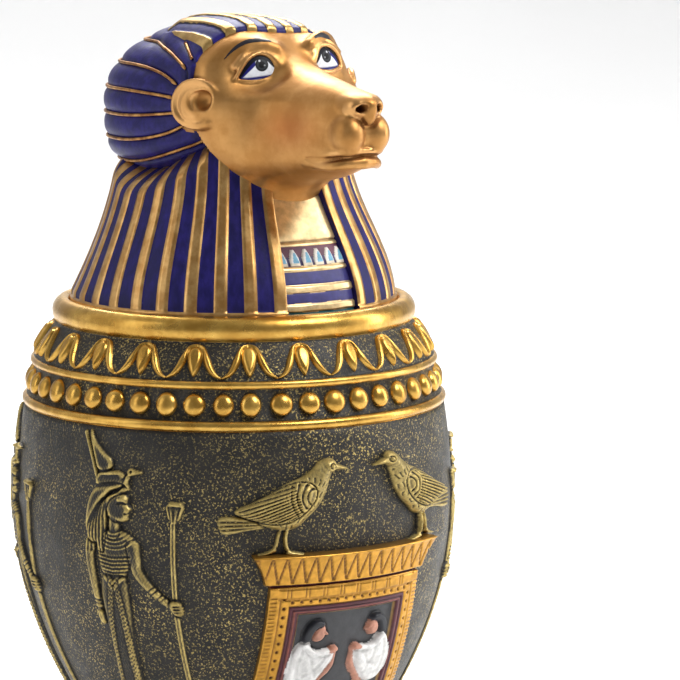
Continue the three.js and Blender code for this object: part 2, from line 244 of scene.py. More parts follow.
class Relief:
    """A sheet of heights over a wall, built up from flat shapes. Off the shapes it lies under
    the wall, and there it is cut away."""

    def __init__(self, left, right, bottom, top, step):
        across = np.arange(left, right + step, step)
        up = np.arange(bottom, top + step, step)
        self.u, self.v = np.meshgrid(across, up)
        self.height = np.full(self.u.shape, SUNK)
        self.step = step

    def start_paint(self, colour, gilt):
        """One paint all over; gilt is 1 for gold paint and 0 for flat paint."""
        self.paint = np.broadcast_to(colour, self.u.shape + (3,)).astype(float)
        self.gilt = np.full(self.u.shape, gilt)

    def tint(self, where, colour, shine=0.0):
        self.paint = np.where(where[..., None], colour, self.paint)
        self.gilt = np.where(where, shine, self.gilt)

    def stain(self, share, colour):
        """Blend a colour into the paint by a share."""
        share = share[..., None]
        self.paint = self.paint * (1 - share) + np.array(colour) * share

    def painted(self):
        return {"paint": self.paint.reshape(-1, 3), "gilt": self.gilt}

    def add(self, away, height, edge=0.7, moat=0.35):
        """Lay a shape on: rounded at its edge, with a line of shadow where it crosses others."""
        inside = limit(-away / edge)
        lifted = height * np.sqrt(1 - (1 - inside) ** 2)
        skirt = np.clip(-away / 0.35, -1, 0) * -SUNK
        low = limit(1 - np.abs(away - 0.1) / 0.45) * (away > -0.05) * moat
        self.height = np.where(self.height > 0.1, self.height - low, self.height)
        self.height = np.maximum(self.height, np.where(away < 0, lifted, skirt))

    def groove(self, away, depth, width=0.3):
        cut = limit(1 - (np.clip(away, 0, None) / width) ** 2) * depth
        self.height = np.where(self.height > 0.15, self.height - cut, self.height)

    def ridge(self, away, rise, width=0.3):
        self.groove(away, -rise, width)

    def rod(self, path, radii, *how):
        """A round stroke laid on."""
        self.add(stroke(self.u, self.v, path, radii), *how)

    def slab(self, corners, rounded, *how):
        """A filled outline laid on."""
        self.add(patch(self.u, self.v, corners, rounded), *how)

    def score(self, path, radii, *how):
        """A groove along a path."""
        self.groove(stroke(self.u, self.v, path, radii), *how)

    def thread(self, path, radii, *how):
        """A ridge along a path."""
        self.ridge(stroke(self.u, self.v, path, radii), *how)

    def soft(self, values, mm):
        """values blurred over a distance."""
        reach = max(1, int(round(mm / self.step)))
        weights = np.exp(-0.5 * (np.arange(-2 * reach, 2 * reach + 1) / reach) ** 2)
        weights /= weights.sum()
        for axis in (0, 1):
            padded = np.pad(values, [(2 * reach,) * 2 if k == axis else (0, 0) for k in (0, 1)],
                            mode="edge")
            values = np.apply_along_axis(lambda row: np.convolve(row, weights, "valid"),
                                         axis, padded)
        return values

    def rub(self, spread=0.55, gain=2.6, base=0.12):
        """How much gold a dry brush leaves: most on edges and high lines."""
        proud = np.maximum(self.height, 0)
        return limit(base + gain * (proud - self.soft(proud, spread)))

    def build(self, surface, marks):
        """Points, faces and marks on a surface(u, v, height) with the buried cells left out."""
        points = surface(self.u, self.v, self.height).reshape(-1, 3)
        faces = grid_faces(*self.u.shape)
        proud = (self.height.ravel() > SUNK + 0.02)
        faces = faces[proud[faces].any(axis=1)]
        used, faces = np.unique(faces, return_inverse=True)
        faces = faces.reshape(-1, 4)
        marks = {key: value.reshape(len(points), -1)[used].squeeze()
                 for key, value in marks.items()}
        return points[used], faces, marks


# Where each relief's middle lies, in degrees round from the front toward +X.
SHRINE_AT, DOVES_AT, GODDESSES_AT, BACK_GODDESSES_AT = -2.2, -19, -62, -114


def wall_radius(z):
    """The jar's wall: a fall away from the belly that runs on below as a straight cone."""
    down = np.minimum(BELLY_AT - z, BELLY_AT - CONE_TOP)
    fall = np.where(z > BELLY_AT, FALL_ABOVE, FALL_BELOW)
    slope = 2 * FALL_BELOW * (BELLY_AT - CONE_TOP)
    return BELLY - fall * down ** 2 - slope * np.maximum(0, CONE_TOP - z)


def on_wall(at_degrees):
    def surface(u, v, height):
        radius = wall_radius(v)
        return around(math.radians(at_degrees) + u / radius, radius + height, v)
    return surface


# ---- Materials ----
class Look:
    """A node material, written as sums: each method adds a node and returns its output."""

    def __init__(self, name, **values):
        self.material = bpy.data.materials.new(name)
        self.material.use_nodes = True
        self.nodes = self.material.node_tree.nodes
        self.links = self.material.node_tree.links
        self.shader = self.nodes["Principled BSDF"]
        self.place = None
        for socket, value in values.items():
            self.shader.inputs[socket.replace("_", " ")].default_value = value

    def put(self, socket, value):
        if isinstance(value, (int, float, tuple)):
            socket.default_value = value
        else:
            self.links.new(value, socket)

    def add(self, kind, inputs=None, **settings):
        node = self.nodes.new(kind)
        for key, value in settings.items():
            setattr(node, key, value)
        for key, value in (inputs or {}).items():
            self.put(node.inputs[key], value)
        return node

    def coordinates(self):
        if self.place is None:
            self.place = self.add("ShaderNodeTexCoord").outputs["Object"]
        return self.place

    def noise(self, mm, detail=3.0, rough=0.55, stretch=None):
        """Noise whose blotches are about mm across, from 0 to 1."""
        vector = self.coordinates()
        if stretch:
            vector = self.add("ShaderNodeVectorMath", {0: vector, 1: stretch},
                              operation="MULTIPLY").outputs[0]
        node = self.add("ShaderNodeTexNoise", {"Vector": vector, "Scale": 1000.0 / mm,
                                               "Detail": detail, "Roughness": rough})
        return node.outputs["Fac"]

    def mark(self, name, colour=False):
        node = self.add("ShaderNodeAttribute", attribute_name=name)
        return node.outputs["Color" if colour else "Fac"]

    def sum(self, operation, a, b=0.5, c=0.5):
        return self.add("ShaderNodeMath", {0: a, 1: b, 2: c}, operation=operation).outputs[0]

    def times(self, a, b):
        return self.sum("MULTIPLY", a, b)

    def plus(self, a, b):
        return self.sum("ADD", a, b)

    def step(self, value, low, high, to_low=0.0, to_high=1.0):
        """A smooth step from to_low to to_high as value goes from low to high."""
        node = self.add("ShaderNodeMapRange", {
            "Value": value, "From Min": low, "From Max": high,
            "To Min": to_low, "To Max": to_high}, interpolation_type="SMOOTHSTEP")
        return node.outputs["Result"]

    def blend(self, share, a, b):
        node = self.add("ShaderNodeMix", data_type="RGBA")
        self.put(node.inputs[0], share)
        self.put(node.inputs[6], a if not isinstance(a, tuple) else (*a, 1.0))
        self.put(node.inputs[7], b if not isinstance(b, tuple) else (*b, 1.0))
        return node.outputs[2]

    def bump(self, height, mm, strength):
        inputs = {"Height": height, "Distance": mm / 1000, "Strength": strength}
        return self.add("ShaderNodeBump", inputs).outputs["Normal"]

    def finish(self, **sockets):
        for socket, value in sockets.items():
            if isinstance(value, tuple) and len(value) == 3:
                value = (*value, 1.0)
            self.put(self.shader.inputs[socket.replace("_", " ")], value)
        return self.material


def gold_paint(name, bright, deep, hollow_shade_colour, rough, mottle_mm):
    """Metallic gold paint: painted shade darkens it to brown in the hollows, and on high, jutting
    places it turns a paler gold, partly thinned by wear and partly a painted highlight.
    """
    look = Look(name, Metallic=0.88)
    mottle = look.step(look.noise(mottle_mm, 4, 0.6), 0.35, 0.7)
    colour = look.blend(mottle, deep, bright)
    colour = look.blend(look.mark("blush"), colour, (0.40, 0.115, 0.035))
    # Painted shade: the paint is darkened toward its shade colour in the hollows, broken up a
    # little by noise.
    hollow_shade = look.times(look.step(look.mark("hollow"), 0.5, 1.0),
                      look.step(look.noise(2.0, 3), 0.2, 0.6, 0.65, 1.0))
    colour = look.blend(hollow_shade, colour, hollow_shade_colour)
    sheen = look.step(look.noise(8.0, 2), 0.3, 0.7, rough - 0.04, rough + 0.05)
    # Painted highlight, with some wear: jutting edges are painted a paler gold and made a little
    # glossier.
    tone_shift = look.step(look.mark("edge"), 0.5, 1.0, 0.0, 0.6)
    colour = look.blend(tone_shift, colour, tuple(min(1, 1.25 * c + 0.03) for c in bright))
    gloss = look.sum("SUBTRACT", look.plus(sheen, look.times(hollow_shade, 0.2)), look.times(tone_shift, 0.16))
    fine = look.plus(look.noise(0.7, 2), look.times(look.noise(3.5, 2), 2.0))
    return look.finish(Base_Color=colour, Roughness=gloss, Normal=look.bump(fine, 0.035, 0.8))


def dark_paint():
    """Charcoal paint over a cast grain, dry-brushed with dull gold: on the grain's tops, and
    wherever the relief stands proud."""
    look = Look("bronzed_resin", Specular_IOR_Level=0.36)
    grain = look.noise(0.62, 3, 0.6)
    fine = look.noise(0.4, 2)
    patches = look.step(look.noise(26.0, 4, 0.65), 0.28, 0.72, 0.05, 1.0)
    tops = look.step(look.plus(grain, look.times(fine, 0.35)), 0.72, 0.84)
    thinner = look.step(look.mark("proud"), 0, 1, 1.0, 0.25)
    flecks = look.times(tops, look.times(patches, thinner))
    rubbed = look.step(look.mark("rub"), 0.22, 0.85)
    broken = look.step(look.noise(0.9, 3, 0.65), 0.33, 0.62, 0.6, 1.0)
    rubbed = look.times(rubbed, broken)
    gold = look.sum("MAXIMUM", flecks, rubbed)
    ground = look.blend(look.step(look.noise(9.0, 3), 0.35, 0.7), (0.007, 0.0065, 0.006),
                        (0.017, 0.015, 0.012))
    dust = look.blend(look.noise(4.0, 2), (0.40, 0.29, 0.08), (0.70, 0.54, 0.21))
    colour = look.blend(gold, ground, dust)
    metal = look.times(gold, 0.85)
    rough = look.plus(look.step(look.noise(5.0, 3), 0.3, 0.7, 0.40, 0.52),
                     look.times(gold, -0.05))
    height = look.plus(grain, look.times(fine, 0.3))
    smoother = look.step(rubbed, 0.0, 0.25, 0.5, 0.25)
    return look.finish(Base_Color=colour, Metallic=metal, Roughness=rough,
                       Normal=look.bump(height, 0.5, smoother))


def blue_paint(name, deep, light, rough):
    """Satin ultramarine: uneven brushing, a little wear to a paler blue, fine grain."""
    look = Look(name, Specular_IOR_Level=0.2)
    brushed = look.noise(2.2, 4, 0.6, stretch=(1.0, 1.0, 0.35))
    colour = look.blend(look.step(brushed, 0.35, 0.75), deep, light)
    specks = look.step(look.noise(0.8, 2), 0.70, 0.78)
    tone_shift = look.times(specks, look.step(look.noise(12.0, 2), 0.5, 0.65, 0.0, 0.5))
    colour = look.blend(tone_shift, colour, (0.16, 0.17, 0.36))
    height = look.plus(look.noise(0.9, 3), look.noise(3.0, 2))
    return look.finish(Base_Color=colour,
                       Roughness=look.step(brushed, 0.3, 0.7, rough, rough + 0.1),
                       Normal=look.bump(height, 0.09, 0.7))


def painted_detail():
    """Hand-painted areas: flat paints where 'gilt' is 0 and gold paint where it is 1."""
    look = Look("painted_detail")
    gilt = look.mark("gilt")
    shade = look.step(look.noise(2.2, 4), 0.25, 0.75, 0.7, 1.1)
    colour = look.add("ShaderNodeVectorMath", {0: look.mark("paint", colour=True)},
                      operation="SCALE")
    look.put(colour.inputs["Scale"], shade)
    metal = look.times(gilt, 0.88)
    rough = look.step(gilt, 0.0, 1.0, 0.5, 0.33)
    height = look.plus(look.noise(0.8, 3), look.noise(2.5, 2))
    return look.finish(Base_Color=colour.outputs[0], Metallic=metal, Roughness=rough,
                       Normal=look.bump(height, 0.06, 0.6))


def plain_paint(name, colour, rough):
    look = Look(name)
    spread = look.step(look.noise(1.2, 3), 0.3, 0.7)
    darker = tuple(channel * 0.75 for channel in colour)
    return look.finish(Base_Color=look.blend(spread, darker, colour), Roughness=rough)


# The third colour of each gold paint is its painted shade, laid in the hollows.
FACE_GOLD = gold_paint("gilt_resin", (0.53, 0.28, 0.092), (0.40, 0.19, 0.052),
                       (0.18, 0.07, 0.018), 0.44, 9.0)
BRIGHT_GOLD = gold_paint("bright_gilt", (0.66, 0.40, 0.09), (0.46, 0.25, 0.045),
                         (0.08, 0.035, 0.01), 0.28, 6.0)
STRIPE_GOLD = gold_paint("stripe_gilt", (0.62, 0.38, 0.145), (0.44, 0.23, 0.07),
                         (0.10, 0.05, 0.015), 0.34, 4.0)
CORD_GOLD = gold_paint("cord_gilt", (0.52, 0.28, 0.09), (0.22, 0.09, 0.03),
                       (0.05, 0.02, 0.01), 0.42, 2.5)
DARK = dark_paint()
BLUE = blue_paint("blue_paint", (0.008, 0.006, 0.065), (0.017, 0.012, 0.13), 0.42)
DETAIL = painted_detail()
LINE_BLACK = plain_paint("line_black", (0.012, 0.010, 0.016), 0.35)
INSIDE = plain_paint("bare_resin", (0.035, 0.032, 0.03), 0.7)


# ---- The jar's turned body ----
LOWER_RING = (117.0, 119.8, 61.4)
THIN_RING = (128.4, 130.6, 58.9)
LOTUS_TOP, SEAT_RADIUS, MOUTH_RADIUS = 140.6, 47.4, 41.2


def half_round(low, high, radius, steps=9):
    """A bead moulding's profile between two heights."""
    turn = np.linspace(-90, 90, steps)
    half = (high - low) / 2
    return [(radius - half * 0.9 + half * 0.9 * math.cos(math.radians(t)),
             (low + high) / 2 + half * math.sin(math.radians(t))) for t in turn]


def band_wall(up):
    """The ornament band under the rim at a share of its height: radius, height, and the
    way it faces."""
    up = limit(up)
    radius = 51.3 + 6.2 * (1 - up ** 1.4)
    height = THIN_RING[1] + (LOTUS_TOP - THIN_RING[1]) * up
    slope = 0.87 * up ** 0.4
    size = np.sqrt(1 + slope ** 2)
    return radius, height, 1 / size, slope / size


def turned_body():
    outline, sides = [], []

    def run(points, material):
        if outline:
            sides.extend([material] * len(points))
        else:
            sides.extend([material] * (len(points) - 1))
        outline.extend(points)

    run([(0.01, 0), (30, 0), (34.6, 0), (35.3, 0.5), (35.5, 1.4), (35.5, 5.2)], 0)
    run([(float(wall_radius(z)), z) for z in np.linspace(6, LOWER_RING[0], 75)], 0)
    run(half_round(*LOWER_RING), 1)
    run([(59.2, 119.9), (58.4, 124.1), (57.6, 128.3)], 0)
    run(half_round(*THIN_RING), 1)
    ups = np.linspace(0, 1, 14)
    radius, height, _, _ = band_wall(ups)
    run(list(zip(radius, height)), 0)
    rim = [(51.4, 140.7), (52.0, 141.4), (52.4, 142.6), (52.5, 144.0), (52.2, 145.3),
           (51.5, 146.4), (50.5, RIM_TOP), (49.2, RIM_TOP + 0.3), (48.2, RIM_TOP + 0.2),
           (SEAT_RADIUS, RIM_TOP - 0.7), (SEAT_RADIUS, SEAT), (MOUTH_RADIUS, SEAT)]
    run(rim, 1)
    inside = [(float(min(wall_radius(z), 58.4)) - 6, z) for z in np.linspace(134, 12, 22)]
    run([(MOUTH_RADIUS, 139.6), (46.0, 138.6), *inside,
         (float(wall_radius(9.0)) - 10, 9.0), (0.01, 9.0)], 2)
    return lathe("jar_body", outline, 224, [DARK, BRIGHT_GOLD, INSIDE], sides)


jar_body = turned_body()


BEADS, BEAD_SIZE, BEAD_LEVEL, BEAD_WALL = 46, 3.25, 124.1, 58.0


def beads():
    parts = []
    turns, rings = 20, 8
    polar = np.linspace(0, math.pi / 2, rings)
    spin = np.linspace(0, 2 * math.pi, turns, endpoint=False)
    for i in range(BEADS):
        size = BEAD_SIZE * (1 + 0.03 * rng.standard_normal(2))
        angle = math.radians(i * 360 / BEADS + 2.5) + 0.004 * rng.standard_normal()
        u = size[0] * np.sin(polar)[:, None] * np.cos(spin)[None]
        v = size[1] * np.sin(polar)[:, None] * np.sin(spin)[None]
        out = BEAD_WALL + 2.5 * np.cos(polar)[:, None] ** 0.8 + 0 * u - v * 0.19
        points = around(angle + u / (BEAD_WALL + 1), out, BEAD_LEVEL + v)
        parts.append((points.reshape(-1, 3), grid_faces(rings, turns, closed=True)))
    points, faces = together(parts)
    return piece("bead_band", points, faces, [BRIGHT_GOLD])


beads()


FLOWERS, FLOWER_TALL = 23, 11.6


def lotus_band():
    """Hanging lotus flowers: a pointed middle petal under two that curl out and down."""
    sheet = Relief(-7.55, 7.55, -0.2, FLOWER_TALL, 0.27)
    u, v = np.abs(sheet.u), sheet.v
    side = smooth_path([(0.2, 10.3), (1.9, 9.6), (3.1, 7.0), (4.2, 4.2), (5.6, 2.0),
                        (7.3, 0.9)], 14)
    width = taper(14, [0, 0.2, 0.5, 0.8, 1], [0.5, 0.75, 1.05, 0.75, 0.25])
    sheet.add(stroke(u, v, side, width), 1.15, 0.9)
    drop = patch(u, v, [(-2.3, 7.2), (-1.6, 9.4), (0, 10.1), (1.6, 9.4), (2.3, 7.2), (1.5, 3.6),
                        (0.15, 1.2), (-0.15, 1.2), (-1.5, 3.6)], 2)
    sheet.add(drop, 1.55, 1.3, 0.6)
    rub = sheet.rub(0.6, 1.4, 0.9)
    # hollow carries painted shade to the gold paint: the lower the relief, the darker it is
    # painted.
    hollow = limit(0.9 - sheet.height * 1.1)
    parts, marks = [], []
    for i in range(FLOWERS):
        middle = math.radians(i * 360 / FLOWERS + 2.0)

        def surface(across, up, height):
            radius, level, out, rise = band_wall(up / FLOWER_TALL)
            return around(middle + across / 55.2, radius + height * out, level + height * rise)

        points, faces, mark = sheet.build(surface, {"hollow": hollow, "rub": rub})
        parts.append((points, faces))
        marks.append(mark)
    points, faces = together(parts)
    marks = {key: np.concatenate([mark[key] for mark in marks]) for key in marks[0]}
    return piece("lotus_band", points, faces, [BRIGHT_GOLD], marks=marks)


lotus_band()


# ---- The goddesses ----
def goddess():
    """A goddess in profile, looking toward the shrine, a papyrus sceptre in her hand."""
    sheet = Relief(-16, 19.5, 17, 118, 0.23)
    u, v = sheet.u, sheet.v
    # Crown: a flat cap, a tall plume and a thin spike behind.
    sheet.slab([(-10.2, 104.4), (0, 105.9), (0.4, 100.2), (-9.4, 100.2)], 1, 1.5)
    sheet.thread([(-10.2, 104.6), (-5, 104.9), (0.2, 105.6)], 0.35, 0.5, 0.5)
    sheet.rod(smooth_path([(-9.8, 103.6), (-11, 107), (-12.8, 111.5), (-14.3, 115)], 8),
              0.55, 1.0, 0.5)
    plume = [(-12.7, 116.8), (-10.9, 113.6), (-7.4, 110.3), (-4.5, 108.4), (-4.2, 105.4),
             (-8.9, 104.4), (-10.4, 109), (-11.8, 113)]
    sheet.slab(plume, 2, 1.25)
    sheet.thread(smooth_path(plume[-3:] + plume[:1], 8), 0.3, 0.35, 0.45)
    sheet.rod(smooth_path([(0.6, 100.6), (0.3, 102.8), (1.6, 105.2)], 7), 0.75, 1.5)
    sheet.rod([(1.7, 105.3), (4.9, 105.3)], [1.15, 0.25], 1.7, 0.5)
    sheet.groove(oval(u, v, (1.8, 105.5), (0.25, 0.25)), 0.8, 0.25)
    # Arms behind the body.
    back_arm = smooth_path([(-10.2, 88.4), (-12, 84), (-12.2, 79), (-11.3, 72), (-10.5, 66.4)], 14)
    sheet.rod(back_arm, np.linspace(1.9, 1.15, 14), 1.35, 1.2)
    sheet.add(oval(u, v, (-9.9, 63), (1.35, 2.4), 12), 1.4, 1.0)
    for z, slant in ((86.2, 1.2), (85, 1.2), (68, 0.3), (67, 0.3)):
        sheet.score([(-14, z + slant), (-9, z - slant)], 0.12, 0.35, 0.3)
    # The dress, the feet and the body.
    dress = [(-8.1, 77), (-9.2, 71), (-8.9, 66), (-7.8, 57), (-7.9, 44), (-7.9, 24.5), (0.4, 24.5),
             (-0.1, 44), (-0.3, 57), (0.2, 66), (0.0, 72), (-0.4, 77)]
    sheet.rod([(-6.4, 21.2), (-6.4, 25)], 1.3, 1.2)
    sheet.rod([(-1.8, 21.2), (-1.8, 25)], 1.3, 1.2)
    sheet.rod([(-7, 20.2), (-2.2, 19.6)], [1.3, 0.8], 1.3)
    sheet.rod([(-2.4, 20.2), (3.6, 19.6)], [1.3, 0.8], 1.4)
    sheet.slab(dress, 2, 1.6, 2.2)
    for path in ([(-4.7, 74), (-5.9, 66), (-6.4, 56), (-6.6, 44), (-6.6, 26)],
                 [(-3.5, 74), (-2.4, 66), (-1.7, 56), (-1.4, 44), (-1.0, 26)]):
        band = stroke(u, v, smooth_path(path, 16), 0.95)
        grains = np.sin(v * 5.2 + 1.7 * np.sin(u * 3)) * np.sin(u * 6.0 + 0.6 * np.sin(v * 2.3))
        sheet.height += np.where((band < 0) & (sheet.height > 0.3), 0.25 + 0.22 * grains, 0)
        sheet.groove(np.abs(band) - 0.05, 0.25, 0.22)
    for z in (26.4, 28.2):
        sheet.score([(-8, z), (0.4, z)], 0.1, 0.3, 0.3)
    torso = [(-9.4, 88), (-2, 89.6), (3.4, 86.8), (4.5, 82.6), (2.8, 80), (0.2, 77.2), (-0.4, 75.4),
             (-8, 75.4), (-8.9, 79), (-9.6, 83)]
    sheet.slab(torso, 2, 1.75, 1.6)
    sheet.rod([(-3.4, 93), (-3.4, 88)], 1.8, 1.6, 1.2)
    # Broad collar, the arm bands of the dress and the belt with its tied ends.
    for radius in (3.0, 4.1, 5.2, 6.3, 7.4):
        ring = np.abs(np.hypot((u + 3.4) * 0.9, v - 90.8) - radius)
        ring = np.where((v < 90) & (u > -8.6) & (u < 3.6), ring, FAR)
        sheet.ridge(ring, 0.3, 0.32)
    for z in (81.4, 80.3, 79.2, 78.1, 77.0, 76.0):
        sheet.score([(-9, z + 0.3), (-4, z - 0.35), (1.5, z + 0.3)], 0.1, 0.4, 0.28)
    for path in ([(-7.4, 76), (-4.2, 71.8), (-0.6, 76)],
                 [(-5.6, 75.6), (-4.2, 73.6), (-2.6, 75.6)]):
        sheet.thread(path, 0.22, 0.4, 0.35)
    # Head in profile, and the wig that falls before and behind the shoulder.
    face = [(-6, 99.8), (-0.8, 99.8), (0.9, 98.6), (1.15, 97.0), (1.0, 96.3), (2.3, 94.9),
            (1.5, 94.3), (1.7, 93.5), (1.2, 93.0), (1.3, 92.0), (-0.2, 91.1), (-3, 91.4), (-6, 93)]
    sheet.slab(face, 1, 1.9, 1.1, 0.5)
    sheet.score([(-1.5, 96.6), (-0.5, 96.9), (0.4, 96.5)], 0.12, 0.4, 0.28)
    sheet.thread([(-1.6, 97.5), (0.6, 97.7)], 0.2, 0.3, 0.35)
    sheet.score([(0.4, 93.75), (1.6, 93.8)], 0.1, 0.4, 0.25)
    wig = [(-9.6, 101), (-2, 102.2), (0.7, 101), (0.6, 99.6), (-2.6, 98.9), (-5, 97), (-5.9, 93.4),
           (-6.1, 82.4), (-9, 82.4), (-9.2, 85), (-11.6, 84.4), (-13, 87.4), (-13.2, 92),
           (-12, 97.4)]
    sheet.slab(wig, 2, 2.1, 1.5, 0.6)
    for k in range(6):
        lock = [(-0.4 - 0.3 * k, 101.2 - 0.25 * k), (-4.6 - 0.55 * k, 99.4 - 0.5 * k),
                (-6.6 - 0.85 * k, 94.5 - 0.6 * k), (-6.7 - 1.1 * k, 88), (-6.7 - 1.15 * k, 82.4)]
        sheet.score(smooth_path(lock, 12), 0.1, 0.5, 0.3)
    # The sceptre, then the arm and the fist that hold it.
    sheet.rod([(14.1, 92.5), (13.5, 66), (13.6, 24)], 0.8, 1.15, 0.7)
    sheet.score([(14.1, 92), (13.5, 66), (13.6, 24)], 0.12, 0.5, 0.35)
    sheet.slab([(11.6, 97.9), (18.2, 97.7), (15.6, 91.6), (13.0, 91.6)], 1, 1.3)
    sheet.thread([(12, 97.4), (17.8, 97.2)], 0.3, 0.6, 0.5)
    for a, b in ((12.9, 13.6), (14.4, 14.3), (16.2, 15.1)):
        sheet.score([(a, 96.4), (b, 92)], 0.1, 0.4, 0.25)
    sheet.thread([(13.0, 91.7), (15.5, 91.7)], 0.2, 0.3, 0.4)
    front_arm = smooth_path([(2.6, 84.6), (3.0, 80.5), (3.2, 77.6), (5.7, 73.9), (9.6, 70.2),
                             (12.4, 68)], 18)
    thick = taper(18, [0, 0.35, 0.8, 1], [1.8, 1.75, 1.25, 1.1])
    sheet.rod(front_arm, thick, 1.75, 1.5, 0.5)
    for k in (7.0, 7.9, 9.2, 10.0):
        bracelet = [(k - 1.3, 79.1 - k + 0.9 - 1.5), (k + 1.4, 79.1 - k + 3.2 - 1.5)]
        sheet.score(bracelet, 0.1, 0.35, 0.25)
    fist = [(12, 70), (15.2, 69.6), (16.3, 67.2), (15.6, 65.2), (13.4, 65.0), (11.8, 67)]
    sheet.slab(fist, 2, 2.2, 1.3, 0.5)
    for z in (66.4, 67.3, 68.2):
        sheet.score([(13.4, z), (15.8, z + 0.1)], 0.1, 0.5, 0.25)
    sheet.height += np.where(sheet.height > 0.3, 0.05 * np.sin(u * 7.1 + 2 * np.sin(v * 2.9)), 0)
    return sheet


def on_both_sides(names, sheet, at, marks):
    """A relief on the wall, and its mirror image on the jar's other side."""
    points, faces, marks = sheet.build(on_wall(at), marks)
    for name, side in zip(names, (1, -1)):
        piece(name, points * [side, 1, 1], faces[:, ::side], [DARK], marks=marks)


def goddesses():
    sheet = goddess()
    rub = sheet.rub(0.6, 1.9, 0.22)
    for names, at in ((("goddess_left", "goddess_right"), GODDESSES_AT),
                      (("goddess_back_left", "goddess_back_right"), BACK_GODDESSES_AT)):
        on_both_sides(names, sheet, at, {"rub": rub, "proud": 0 * rub + 1})


goddesses()


# ---- The doves ----
def dove():
    """A dove on the cornice, looking toward the middle."""
    sheet = Relief(-23, 17.5, 81.5, 111, 0.2)
    u, v = sheet.u, sheet.v
    sheet.rod(smooth_path([(-1.6, 91), (-2.3, 88), (-2.0, 85), (-1.0, 83.7)], 8), 0.6, 2.0, 0.6)
    sheet.rod([(-1.4, 83.6), (1.2, 83.2), (3.2, 82.9)], [0.7, 0.6, 0.35], 2.2, 0.6)
    sheet.rod(smooth_path([(-3.4, 91), (-4.4, 88), (-4.9, 85.6), (-6.3, 84)], 8), 0.55, 1.7, 0.6)
    sheet.rod([(-5.2, 84.6), (-7.4, 83.6), (-9.6, 83.2)], [0.6, 0.5, 0.35], 1.7, 0.6)
    tail = [(-21.2, 92.9), (-19.6, 94.3), (-13, 93.8), (-8, 93), (-7, 90.6), (-12, 90.2),
            (-18.9, 88.6), (-20.6, 90)]
    sheet.slab(tail, 2, 1.7, 1.0)
    for start, end in ((92.6, 92.6), (91.4, 91.9), (90.2, 91.2)):
        sheet.score([(-21, start), (-8, end)], 0.12, 0.5, 0.3)
    body = [(12.4, 106.6), (12.0, 108.4), (10, 109.5), (7.6, 108.6), (5.4, 106.4), (2.6, 104.4),
            (-3, 102.4), (-9, 99), (-13, 95), (-9, 91.4), (-4, 89.7), (0.6, 90), (3.4, 92.4),
            (7, 95.6), (9.6, 99.6), (10.6, 103.6)]
    sheet.slab(body, 2, 3.4, 4.2, 0.5)
    sheet.rod([(11.6, 106.9), (14, 106.4), (16.1, 105.9)], [1.1, 0.7, 0.25], 2.6, 0.8)
    sheet.add(oval(u, v, (10.3, 107.1), (2.5, 2.2)), 3.5, 2.4, 0.1)
    sheet.groove(np.abs(oval(u, v, (10.9, 107.2), (0.75, 0.7))), 0.7, 0.25)
    sheet.ridge(oval(u, v, (10.9, 107.2), (0.35, 0.35)), 0.3, 0.3)
    sheet.score([(13, 106.3), (15.6, 106)], 0.06, 0.3, 0.2)
    wing = [(5.4, 102.6), (1.6, 103.4), (-4, 101.4), (-10, 98.4), (-17.6, 95.4), (-13, 93.4),
            (-7, 91.9), (-1, 92.4), (3.6, 95.4), (6.3, 99.4)]
    shape = patch(u, v, wing, 2)
    sheet.add(shape, 4.1, 2.4, 0.8)
    on_wing = shape < -0.25
    # Flight feathers run back along the wing, small ones scale its shoulder.
    lean = (v - 93.6) - 0.36 * (u + 14)
    fan = lean * (1.0 + 0.02 * (u + 12))
    feathers = np.abs((fan / 1.05 + 0.5) % 1 - 0.5) * 1.05
    sheet.groove(np.where(on_wing & (u < 1.6 - 0.3 * (v - 97)), feathers, FAR), 0.75, 0.32)
    barbs = np.abs(((u * 0.8 + v * 0.9) / 0.9) % 1 - 0.5) * 0.9
    sheet.groove(np.where(on_wing & (u < -2), barbs, FAR), 0.18, 0.25)
    for k in range(4):
        arc = np.abs(np.hypot(u - 5.2, (v - 99.2) * 0.9) - 2.0 - 1.45 * k)
        arc = np.where(on_wing & (u < 5.6), arc, FAR)
        sheet.groove(arc, 0.6, 0.35)
    # Short strokes of down on the neck and breast.
    down = np.abs(((u * 0.75 - v * 0.35) / 1.1 + 0.4 * np.sin(v * 0.9)) % 1 - 0.5) * 1.1
    broken = np.sin(v * 1.9 + u) > -0.3
    plain = (patch(u, v, body, 2) < -0.5) & (shape > 0.4) & (v < 104.5) & broken
    sheet.groove(np.where(plain, down, FAR), 0.35, 0.25)
    return sheet


def doves():
    sheet = dove()
    rub = limit(sheet.rub(0.5, 1.3, 0.5) * 1.1)
    on_both_sides(("dove_left", "dove_right"), sheet, DOVES_AT, {"rub": rub})


doves()


# ---- The shrine ----
GOLD = (0.55, 0.28, 0.045)
DULL_GOLD = (0.46, 0.15, 0.03)
MAROON = (0.075, 0.006, 0.014)
SLATE = (0.035, 0.036, 0.04)
WHITE = (0.78, 0.77, 0.75)
SKIN = (0.52, 0.24, 0.16)
HAIR = (0.012, 0.014, 0.02)


